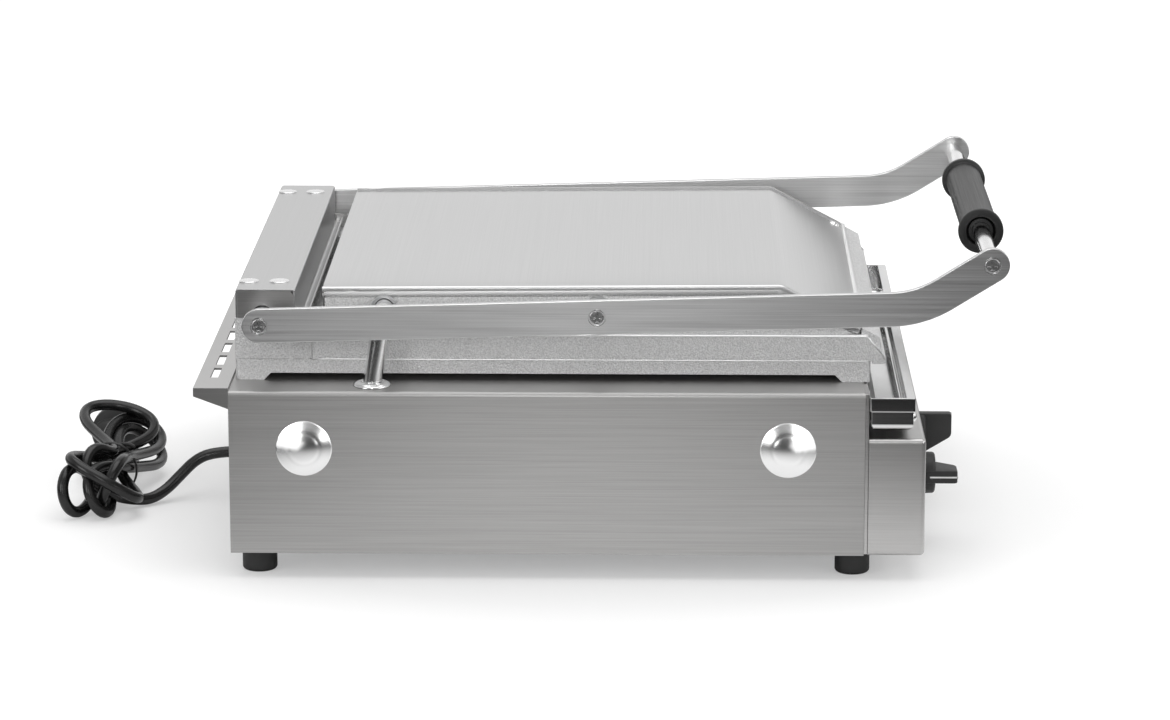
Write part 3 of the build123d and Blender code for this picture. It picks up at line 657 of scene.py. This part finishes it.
def capProfile(values):
    # height over the panel by radius: a short wall, then wall + (rise - wall) (1 - share^2)^dome, a low round
    # dome, less a shallow ring groove, deep exp(-((r - radius) / wide)^2)
    groove, foot = values["groove"], values["wall"]
    r = np.linspace(1, 0, 48) ** 0.9 * (values["radius"] - 0.5)
    share = r / values["radius"]
    height = foot + (values["rise"] - foot) * (1 - share ** 2) ** values["dome"]
    height -= groove["deep"] * np.exp(-((r - groove["radius"]) / groove["wide"]) ** 2)
    wall = [(-0.1, values["radius"] - 0.4), (0.0, values["radius"] - 0.1), (0.18, values["radius"]),
            (0.32, values["radius"] - 0.14), (foot, values["radius"] - 0.32)]
    return wall + list(zip(height[1:-1], r[1:-1])) + [(values["rise"], 0.05)]


# fine turned rings: noise on the distance from the cap's middle, kept in the piece's own UV map
capRings = dict(dark=grey(0.78), light=grey(0.90), rough=(0.15, 0.21), rings=(0.5, 160, 0), bump=0.08,
                depth=0.02)
capFinish, tree, shader = newFinish("turnedCap")
along = tree.nodes.new("ShaderNodeUVMap")
along.uv_map = "rings"
rings = tree.nodes.new("ShaderNodeMapping")
rings.inputs["Scale"].default_value = capRings["rings"]
marks = tree.nodes.new("ShaderNodeTexNoise")
marks.inputs["Scale"].default_value = 1.0
marks.inputs["Detail"].default_value = 4.0
tree.links.new(along.outputs[0], rings.inputs["Vector"])
tree.links.new(rings.outputs["Vector"], marks.inputs["Vector"])
tree.links.new(tinted(tree, marks.outputs[0], capRings["dark"], capRings["light"]), shader.inputs["Base Color"])
tree.links.new(mapped(tree, marks.outputs[0], *capRings["rough"]), shader.inputs["Roughness"])
shader.inputs["Metallic"].default_value = 1.0
relief = tree.nodes.new("ShaderNodeBump")
relief.inputs["Strength"].default_value = capRings["bump"]
relief.inputs["Distance"].default_value = capRings["depth"] * mm
tree.links.new(marks.outputs[0], relief.inputs["Height"])
tree.links.new(relief.outputs["Normal"], shader.inputs["Normal"])
finishes["turnedCap"] = capFinish


def ringMap(owner, centres, radius):
    # u = distance from the nearest cap's middle over the radius, v = the same, so both grow outwards
    mesh = owner.data
    place = np.empty(len(mesh.vertices) * 3)
    mesh.vertices.foreach_get("co", place)
    place = place.reshape(-1, 3)[:, 1:]
    away = np.linalg.norm(place[:, None] - np.array(centres)[None], axis=2).min(axis=1) / radius
    corner = np.empty(len(mesh.loops), dtype=np.int32)
    mesh.loops.foreach_get("vertex_index", corner)
    layer = mesh.uv_layers.new(name="rings")
    layer.data.foreach_set("uv", np.column_stack([away[corner], away[corner]]).ravel())


capDomes = [turned([(hand * (capValues["x"] + h), r) for h, r in capProfile(capValues)],
                   (0, y, capValues["z"]), "x", 96) for hand in (-1, 1) for y in capValues["y"]]
sideCaps = piece("sideCaps", capDomes, "turnedCap", "base", 40)
ringMap(sideCaps, [(y * mm, capValues["z"] * mm) for y in capValues["y"]], capValues["radius"] * mm)
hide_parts("dome_caps")
print("side caps made")


# the folded channel over the hinge shaft, with its end plates, tabs and rivets
channelValues = {"half": 183.3, "rear": 246.5, "front": 206.6, "top": 192.0, "foot": 172.5, "sheet": 1.5,
                 "lip": (201.9, 165.0, 168.0), "hole": (228.7, 172.4, 8.6), "edge": 0.25,
                 "stripHalf": 145.4, "stripFoot": 145.0, "stripTop": 173.5,
                 "tab": [(194.6, 156.4), (207.8, 156.4), (207.8, 171.0), (194.6, 170.0)],
                 "tabX": (181.75, 183.25)}


def prism(outline, x0, x1):
    # a flat outline carried from one place along X to another, with a face at each end
    outline = np.array(outline, float)
    return skin(np.array([np.column_stack([np.full(len(outline), x), outline]) for x in (x0, x1)]), ends="flat")


def facing(surface, way):
    # an open sheet is turned so that, summed over all its faces, it looks the way it is told
    points, faces = surface
    a, b, c = points[np.array([f[:3] for f in faces])].transpose(1, 0, 2)
    return surface if np.sum(np.cross(b - a, c - b) @ np.array(way)) > 0 else (points, [f[::-1] for f in faces])


def channelSheet(values):
    # the folded outline, up the back, over the top and down to the lip in front, carried along X
    lipY, lipLow, lipHigh = values["lip"]
    rear, front, top = values["rear"], values["front"], values["top"]
    line = rounded([(rear, values["foot"]), (rear, top), (front, top), (front, lipLow), (lipY, lipLow),
                    (lipY, lipHigh)], [1.7, 1.7, 1.6, 1.6], 5)
    x = np.linspace(-values["half"], values["half"], 25)
    rows = np.array([np.column_stack([np.full(len(line), place), line]) for place in x])
    return skin(rows, ringed=False, ends="open")


def cheek(values, hand):
    # the end plate, with a half round notch over the shaft
    y, z, r = values["hole"]
    t = np.linspace(0, pi, 25)
    notch = np.column_stack([y - r * np.cos(t), z + r * np.sin(t)])
    rear, front, foot, top = values["rear"] - 0.1, values["front"] + 1.0, values["foot"], values["top"] - 1.3
    outline = np.vstack([[(front, foot)], notch,
                         [(rear, foot), (rear, top), (front + 2, top), (front, top - 2.7)]])
    return prism(outline, hand * (values["half"] - values["sheet"]), hand * (values["half"] - 0.05))


channel = piece("hingeChannel", [facing(channelSheet(channelValues), (0, 0, 1))], "channelSheet",
                "base", 50)
thicken(channel, channelValues["sheet"])
breakEdges(channel, channelValues["edge"], 50)
evenShading(channel)


def rearStrip(values):
    # the back of the channel goes on down between the towers
    low, high, back, half = values["stripFoot"], values["stripTop"], values["rear"], values["stripHalf"]
    inner = back - values["sheet"]
    return prism([(inner, low), (back, low), (back, high), (inner, high)], -half, half)


channelTabs = [prism(channelValues["tab"], *(hand * x for x in channelValues["tabX"])) for hand in (-1, 1)]
channelEnds = piece("channelEnds", channelTabs + [cheek(channelValues, -1), cheek(channelValues, 1),
                                                  rearStrip(channelValues)],
                    "boxSheet", "base", 30)
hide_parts("hinge_channel")

# the rivet heads, with their outline by height over the channel and radius
rivetValues = {"x": (-157.5, 157.5), "y": (239.7, 219.1),
               "head": [(-0.05, 6.2), (0.0, 6.5), (0.35, 6.65), (0.62, 6.5), (0.78, 6.1), (0.88, 5.0),
                        (0.94, 3.4), (0.97, 1.7), (0.98, 0.05)]}
rivetHead = [(channelValues["top"] + h, r) for h, r in rivetValues["head"]]
channelRivets = piece("channelRivets", [turned(rivetHead, (x, y, 0), "z", 64) for x in rivetValues["x"]
                                        for y in rivetValues["y"]], "rivetSteel", "base", 50)
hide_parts("channel_rivets")

# the bright machined edge round the top of the lower plate
rimValues = {"half": 180.7, "front": -178.0, "rear": 196.0, "z": 143.65, "radius": 0.42}
rimRun = np.linspace(rimValues["front"], rimValues["rear"], 30)
rimSides = [sweep(np.column_stack([np.full(30, hand * rimValues["half"]), rimRun, np.full(30, rimValues["z"])]),
                  rimValues["radius"], (0, 0, 1), 12) for hand in (-1, 1)]
plateRim = piece("plateRim", rimSides, "machined", "base", None)

# the rolled bright edge along the top of the upper plate's skirt and down its sloped front
beadValues = {"x": 180.25, "line": [(195.2, 160.5), (-176.4, 160.5), (-189.0, 144.4)], "turn": 4.0,
              "radius": 0.85}
beadLine = rounded(beadValues["line"], [beadValues["turn"]], 10)
beadLine = np.vstack([np.linspace(beadLine[0], beadLine[1], 12, endpoint=False), beadLine[1:]])
beads = [sweep(np.column_stack([np.full(len(beadLine), hand * beadValues["x"]), beadLine]),
               beadValues["radius"], (1, 0, 0), 12) for hand in (-1, 1)]
skirtBead = piece("skirtBead", beads, "machined", "upper_plate", None)

# the front lip of each hinge tower, close behind the lid casting
lipValues = {"outline": [(195.95, 144.15), (197.3, 144.15), (197.3, 160.6), (195.95, 160.6)],
             "inner": 146.2, "outer": 180.7}
towerLips = piece("towerLips", [prism(lipValues["outline"], -lipValues["outer"], -lipValues["inner"]),
                                prism(lipValues["outline"], lipValues["inner"], lipValues["outer"])],
                  "castPlate", "base", 30)
print("channel, rivets and plate edges made")


# the steel conduit that carries the wires from the housing up to the upper plate
conduitValues = {"radius": 6.25, "foot": (-195.5, 154.6, 130.5), "corner": (-195.5, 147.3, 178.0),
                 "join": 165.0, "inner": -169.8, "bend": 9.0, "gap": 0.3,
                 "stretch": ((-0.195, 0.1473, 0.178), (-0.176, 0.1473, 0.178))}  # stretch is in metres


def elbow(values):
    # straight from the join, then a quarter circle towards the inside, then straight
    foot, corner = np.array(values["foot"]), np.array(values["corner"])
    join = foot + (corner - foot) * (values["join"] - foot[2]) / (corner[2] - foot[2])
    up = (corner - foot) / np.linalg.norm(corner - foot)
    t = np.linspace(0, pi / 2, 18)[:, None]
    middle = corner - up * values["bend"] + np.array([values["bend"], 0, 0])
    arc = middle - np.array([values["bend"], 0, 0]) * np.cos(t) + up * values["bend"] * np.sin(t)
    return np.vstack([join, join + 0.6 * (arc[0] - join), arc, [(values["inner"], corner[1], corner[2])]]), join


upperPath, conduitJoin = elbow(conduitValues)
lowerPath = np.array(conduitValues["foot"]) + np.linspace(0, 1, 40)[:, None] * (
    conduitJoin - (0, 0, conduitValues["gap"]) - np.array(conduitValues["foot"]))
conduitLower = piece("conduitLower", [sweep(lowerPath, conduitValues["radius"], (0, 1, 0), 40)],
                     "satinSteel")
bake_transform(conduitLower)
conduitUpper = piece("conduitUpper", [sweep(upperPath, conduitValues["radius"], (0, 1, 0), 40)],
                     "satinSteel")
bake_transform(conduitUpper)
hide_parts("conduit_lower")
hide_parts("conduit_upper")

# the round flange where the conduit leaves the body: a closed outline by height and radius, turned about Z
glandOutline = [(129.32, 7.45), (129.32, 12.6), (129.6, 12.85), (130.1, 12.8), (130.8, 12.3), (131.5, 11.3),
                (132.0, 10.0), (132.28, 8.6), (132.3, 7.7), (132.1, 7.45)]
glandRing = turned(glandOutline, (*conduitValues["foot"][:2], 0), "z", 72, looped=True)
conduitGland = piece("conduitGland", [glandRing], "satinSteel", "base", 60)
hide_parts("conduit_gland")
print("conduit made")


# the top cover: a bent sheet whose long sides turn down
coverValues = {"half": 174.0, "sheet": 1.2, "rear": (188.9, 191.0), "bend": (-119.3, 193.5), "bendRadius": 11.0,
               "front": (-172.8, 165.4), "wallFoot": 163.2, "flange": 5.2, "edgeRadius": 1.4}


def coverTop(values):
    # the line from the back over the bend to the front, carried along X; at both sides the sheet turns down
    # square to that line by the flange, so point = line + normal * drop
    rear, bend, front = (np.array(values[k]) for k in ("rear", "bend", "front"))
    line = rounded([rear, bend, front], [values["bendRadius"]], 14)
    first = np.linspace(line[0], line[1], 12, endpoint=False)
    last = np.linspace(line[-2], line[-1], 6)
    line = np.vstack([first, line[1:-2], last])
    run = np.gradient(line, axis=0)
    run /= np.linalg.norm(run, axis=1)[:, None]
    normal = np.column_stack([-run[:, 1], run[:, 0]])
    normal *= np.sign(normal[:, 1])[:, None]
    half, soft, flange = values["half"], values["edgeRadius"], values["flange"]
    t = np.linspace(0, pi / 2, 6)
    edgeX = half - soft + soft * np.cos(t[::-1])
    edgeDrop = soft - soft * np.sin(t[::-1])
    left = np.column_stack([-np.concatenate([[half], edgeX]), np.concatenate([[flange], edgeDrop])])
    across = np.vstack([left, np.column_stack([np.linspace(-160, 160, 9), np.zeros(9)]), left[::-1] * (-1, 1)])
    x = np.ones(len(line))[:, None] * across[:, 0]
    flat = line[:, None] - normal[:, None] * across[None, :, 1, None]
    return skin(np.concatenate([x[..., None], flat], axis=-1), ringed=False, ends="open")


def coverWall(values):
    # the wall at the back, a flat sheet from the top line down to its foot
    z = np.linspace(values["rear"][1] - 0.4, values["wallFoot"], 6)
    x = np.linspace(-values["half"] + 0.4, values["half"] - 0.4, 12)
    grid = np.stack(np.meshgrid(x, z), axis=-1)
    return skin(np.stack([grid[..., 0], np.full(grid.shape[:2], values["rear"][0]), grid[..., 1]], axis=-1),
                ringed=False, ends="open")


coverFolds = [facing(coverTop(coverValues), (0, 0, 1)), facing(coverWall(coverValues), (0, 1, 0))]
coverSheet = piece("coverSheet", coverFolds, "coverSheet", "upper_plate", sharp=50)
thicken(coverSheet, coverValues["sheet"])
evenShading(coverSheet)
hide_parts("top_cover")

# the folded hem along the front edge: an oval bead set along X
hemValues = {"half": 173.2, "y": -172.9, "z": 165.5, "wide": 1.9, "tall": 0.9, "lean": -28.0}


def hemBead(values):
    # y = wide cos t, z = tall sin t, leaned to the slope of the sheet, and smaller over the last millimetre
    t = np.linspace(0, 2 * pi, 20, endpoint=False)
    half = values["half"]
    x = np.concatenate([[-half, 0.4 - half], np.linspace(1 - half, half - 1, 12), [half - 0.4, half]])
    size = np.interp(half - np.abs(x), [0, 0.4, 1.0], [0.5, 0.85, 1.0])[:, None]
    lean = radians(values["lean"])
    y, z = values["wide"] * np.cos(t) * size, values["tall"] * np.sin(t) * size
    across, up = y * cos(lean) - z * sin(lean), y * sin(lean) + z * cos(lean)
    return skin(np.stack([x[:, None] * np.ones(20), values["y"] + across, values["z"] + up], axis=-1))


coverHem = piece("coverHem", [hemBead(hemValues)], "machined", "upper_plate", 40)
print("cover made")


# a knob: a deep round skirt turned about Y, and a pointer bar whose far end slopes back to the panel
knobValues = {"bar": 14.3, "wide": 9.0, "foot": -218, "slopeTo": -227,
              "profile": [(-215.72, 13.9), (-216.2, 14.4), (-217.2, 14.5), (-225.4, 14.2), (-226.5, 13.7),
                          (-227.1, 12.7), (-227.3, 11.6), (-227.4, 0.2)],
              "timer": {"middle": (-115.0, 50.0), "front": -242.3, "way": (-1, 0)},
              "thermostat": {"middle": (0.0, 50.0), "front": -245.6, "way": (0, 1)}}


def pointerBar(values, middle, way, front):
    # the bar's side outline by place along the way and depth, carried across its width, with drawn-in cheeks
    near, far, foot = values["bar"], -values["bar"] + 0.6, values["foot"]
    outline = rounded([(0, foot), (near, foot), (near, front), (-2.5, front), (far, values["slopeTo"]),
                       (far, foot), (0, foot)], [0.4, 1.8, 4.5, 1.5, 0.4], 6)[:-1]
    way = np.array(way, float)
    across = np.array([-way[1], way[0]])
    centre = outline.mean(axis=0)
    layers = []
    for place, share in ((-1, 0.93), (-0.9, 0.985), (-0.7, 1), (0.7, 1), (0.9, 0.985), (1, 0.93)):
        flat = centre + (outline - centre) * share
        at = np.outer(flat[:, 0], way) + across * place * values["wide"] / 2 + middle
        layers.append(np.column_stack([at[:, 0], np.maximum(flat[:, 1], front), at[:, 1]]))
    return skin(np.array(layers))


def knob(name, body):
    place = knobValues[body]
    made = piece(name, [turned(knobValues["profile"], (place["middle"][0], 0, place["middle"][1]), "y", 72),
                        pointerBar(knobValues, place["middle"], place["way"], place["front"])],
                 "blackPlastic", body, 35)
    evenShading(made)
    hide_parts(body + "_knob")


knob("timerKnob", "timer")
knob("thermostatKnob", "thermostat")

# the white lines on the knobs, and the dial marks with first mark and span in degrees
lineValues = {"proud": 0.12, "wide": 1.1, "down": 19, "inner": 2.0, "sunk": (0.3, 0.4)}
dialValues = {"inner": 17.5, "outer": 20.5, "short": 1.2, "halfWide": 0.3, "y": (-215.12, -215.32), "count": 13,
              "timer": (-90, 300), "thermostat": (0, 270)}


def stick(middle, way, near, far, halfWide, depths):
    # a square bar between two distances from the middle along a flat way, and between two places along Y
    way = np.array(way, float)
    across = halfWide * np.array([-way[1], way[0]])
    near, far = near * way, far * way
    corners = np.array([near - across, far - across, far + across, near + across]) + middle
    return skin(np.array([np.column_stack([corners[:, 0], np.full(4, y), corners[:, 1]]) for y in depths]))


def inlay(values, place, reach):
    # a thin white strip along the bar's end, and one over its front face from the middle to that end
    top, far = place["front"] - values["proud"], reach + values["proud"]
    return [stick(place["middle"], place["way"], reach - values["sunk"][0], far, values["wide"] / 2,
                  (place["front"] + values["down"], top)),
            stick(place["middle"], place["way"], values["inner"], far, values["wide"] / 2,
                  (top, place["front"] + values["sunk"][1]))]


timerLine = piece("timerLine", inlay(lineValues, knobValues["timer"], knobValues["bar"]),
                  "dialWhite", "timer", 30)
thermostatLine = piece("thermostatLine", inlay(lineValues, knobValues["thermostat"], knobValues["bar"])[1:],
                       "dialWhite", "thermostat", 30)


def dialMarks(values, knobName):
    # short radial bars, evenly spread over the dial's turn; every second one is longer
    first, span = values[knobName]
    turns = np.radians(first + span * np.arange(values["count"]) / (values["count"] - 1))
    inner = values["inner"] + values["short"] * (np.arange(values["count"]) % 2)
    return [stick(knobValues[knobName]["middle"], (sin(turn), cos(turn)), near, values["outer"],
                  values["halfWide"], values["y"]) for turn, near in zip(turns, inner)]


dials = piece("dialMarks", dialMarks(dialValues, "timer") + dialMarks(dialValues, "thermostat"),
              "blackPaint", "base", None)
print("knobs and dials made")


# the bench: its size in metres, and how it glows and fades with distance from the middle
benchValues = {"size": 9.0, "colour": 0.62, "glow": (0.33, 0.62), "glowReach": (0.28, 0.64),
               "near": 0.95, "far": 0.02, "fade": (0.38, 0.64)}
bench = bpy.data.meshes.new("bench")
edge = benchValues["size"] / 2
bench.from_pydata([(-edge, -edge, 0), (edge, -edge, 0), (edge, edge, 0), (-edge, edge, 0)], [], [(0, 1, 2, 3)])
benchObject = bpy.data.objects.new("bench", bench)
bpy.context.collection.objects.link(benchObject)
benchFinish, tree, shader = newFinish("benchTop")
# seen directly the bench is near white; in reflections it is bright round the object and falls away to dark
shader.inputs["Base Color"].default_value = (*grey(benchValues["colour"]), 1)
shader.inputs["Roughness"].default_value = 0.9
shader.inputs["Specular IOR Level"].default_value = 0.0
place = tree.nodes.new("ShaderNodeTexCoord")
reach = tree.nodes.new("ShaderNodeVectorMath")
reach.operation = "LENGTH"
tree.links.new(place.outputs["Object"], reach.inputs[0])
around = tree.nodes.new("ShaderNodeBsdfDiffuse")
tree.links.new(tinted(tree, mapped(tree, reach.outputs["Value"], 0, 1, *benchValues["fade"]),
                      grey(benchValues["near"]), grey(benchValues["far"])), around.inputs["Color"])
seen = tree.nodes.new("ShaderNodeLightPath")
glow = tree.nodes.new("ShaderNodeEmission")
tree.links.new(mapped(tree, reach.outputs["Value"], *benchValues["glow"], *benchValues["glowReach"]),
               glow.inputs["Strength"])
lit = tree.nodes.new("ShaderNodeAddShader")
pick = tree.nodes.new("ShaderNodeMixShader")
tree.links.new(shader.outputs[0], lit.inputs[0])
tree.links.new(glow.outputs[0], lit.inputs[1])
tree.links.new(seen.outputs["Is Camera Ray"], pick.inputs[0])
tree.links.new(around.outputs[0], pick.inputs[1])
tree.links.new(lit.outputs[0], pick.inputs[2])
tree.links.new(pick.outputs[0], tree.nodes["Material Output"].inputs["Surface"])
bench.materials.append(benchFinish)

# the room: brightness low, halfway and high over the horizon on the near and far side, and where each starts
roomValues = {"below": 0.03, "near": (0.06, 0.50, 0.50), "far": (1.00, 0.80, 0.50),
              "starts": (0.485, 0.515, 0.57, 0.65, 0.76, 0.86), "turn": 0.35}
room = bpy.data.worlds.new("room")
bpy.context.scene.world = room
room.use_nodes = True
tree = room.node_tree
tree.nodes.clear()
way = tree.nodes.new("ShaderNodeTexCoord")
split = tree.nodes.new("ShaderNodeSeparateXYZ")
tree.links.new(way.outputs["Generated"], split.inputs[0])
height = mapped(tree, split.outputs["Z"], 0, 1, -1, 1)


def heights(levels):
    # a ramp of greys from below the horizon to straight up
    low, middle, high = levels
    ramp = tree.nodes.new("ShaderNodeValToRGB")
    stops = zip(roomValues["starts"], (roomValues["below"], low, low, middle, middle, high))
    ramp.color_ramp.elements[0].position = 0
    ramp.color_ramp.elements[0].color = (*grey(roomValues["below"]), 1)
    ramp.color_ramp.elements[1].position = 1
    ramp.color_ramp.elements[1].color = (*grey(high), 1)
    for position, tone in stops:
        ramp.color_ramp.elements.new(position).color = (*grey(tone), 1)
    tree.links.new(height, ramp.inputs["Fac"])
    return ramp.outputs["Color"]


sides = tree.nodes.new("ShaderNodeMix")
sides.data_type = "RGBA"
tree.links.new(mapped(tree, split.outputs["X"], 0, 1, -roomValues["turn"], roomValues["turn"]), sides.inputs[0])
tree.links.new(heights(roomValues["near"]), sides.inputs[6])
tree.links.new(heights(roomValues["far"]), sides.inputs[7])
air = tree.nodes.new("ShaderNodeBackground")
white = tree.nodes.new("ShaderNodeBackground")
white.inputs["Color"].default_value = (1, 1, 1, 1)
tree.links.new(sides.outputs[2], air.inputs["Color"])
seen = tree.nodes.new("ShaderNodeLightPath")
pick = tree.nodes.new("ShaderNodeMixShader")
out = tree.nodes.new("ShaderNodeOutputWorld")
tree.links.new(seen.outputs["Is Camera Ray"], pick.inputs[0])
tree.links.new(air.outputs[0], pick.inputs[1])
tree.links.new(white.outputs[0], pick.inputs[2])
tree.links.new(pick.outputs[0], out.inputs["Surface"])

# the lamps, in metres and watts; those with "only" light nothing but the caps, and "skips" leaves the caps out
lamps = {
    "overhead": dict(place=(0.0, 0.0, 2.2), aim=(0, 0, 0.1), size=(2.6, 2.2), power=28),
    "nearLeft": dict(place=(-1.9, 1.7, 0.75), aim=(-0.2, 0.1, 0.1), size=(0.9, 1.3), power=12),
    "nearRight": dict(place=(-1.7, -1.8, 0.75), aim=(-0.2, 0, 0.1), size=(0.9, 1.3), power=9),
    "front": dict(place=(-0.6, -2.4, 1.6), aim=(0, 0, 0.15), size=(1.4, 1.0), power=10),
    "strip": dict(place=(-3.4, 0.10, 0.9), aim=(0, 0.05, 0.3), size=(0.24, 1.5), power=10, skips=[sideCaps]),
    "capLeft": dict(place=(-2.1, 0.86, 0.55), aim=(-0.2, 0.05, 0.1), size=(0.8, 1.15), power=8,
                    only=[sideCaps]),
    "capRight": dict(place=(-2.1, -0.78, 0.55), aim=(-0.2, 0.05, 0.1), size=(0.8, 1.15), power=8,
                     only=[sideCaps]),
    "capLow": dict(place=(-1.2, 1.02, 0.012), aim=(-1.2, 1.02, 1), size=(1.4, 1.5), power=9,
                   only=[sideCaps]),
    "capLower": dict(place=(-1.2, -0.94, 0.012), aim=(-1.2, -0.94, 1), size=(1.4, 1.5), power=9,
                     only=[sideCaps]),
}
for name, lamp in lamps.items():
    light = bpy.data.lights.new(name, "AREA")
    light.shape = "RECTANGLE"
    light.size, light.size_y = lamp["size"]
    light.energy = lamp["power"]
    lightObject = bpy.data.objects.new(name, light)
    bpy.context.collection.objects.link(lightObject)
    lightObject.location = lamp["place"]
    shining = Vector(lamp["aim"]) - Vector(lamp["place"])
    lightObject.rotation_euler = shining.to_track_quat("-Z", "Y").to_euler()
    if "only" in lamp:
        lightObject.visible_camera = False
    if "skips" in lamp or "only" in lamp:
        linked = bpy.data.collections.new(name + "Linked")
        for owned in lamp.get("skips", []) + lamp.get("only", []):
            linked.objects.link(owned)
        for entry in linked.collection_objects:
            entry.light_linking.link_state = "EXCLUDE" if "skips" in lamp else "INCLUDE"
        lightObject.light_linking.receiver_collection = linked
bpy.context.scene.view_settings.view_transform = "Standard"
print("bench and light set")
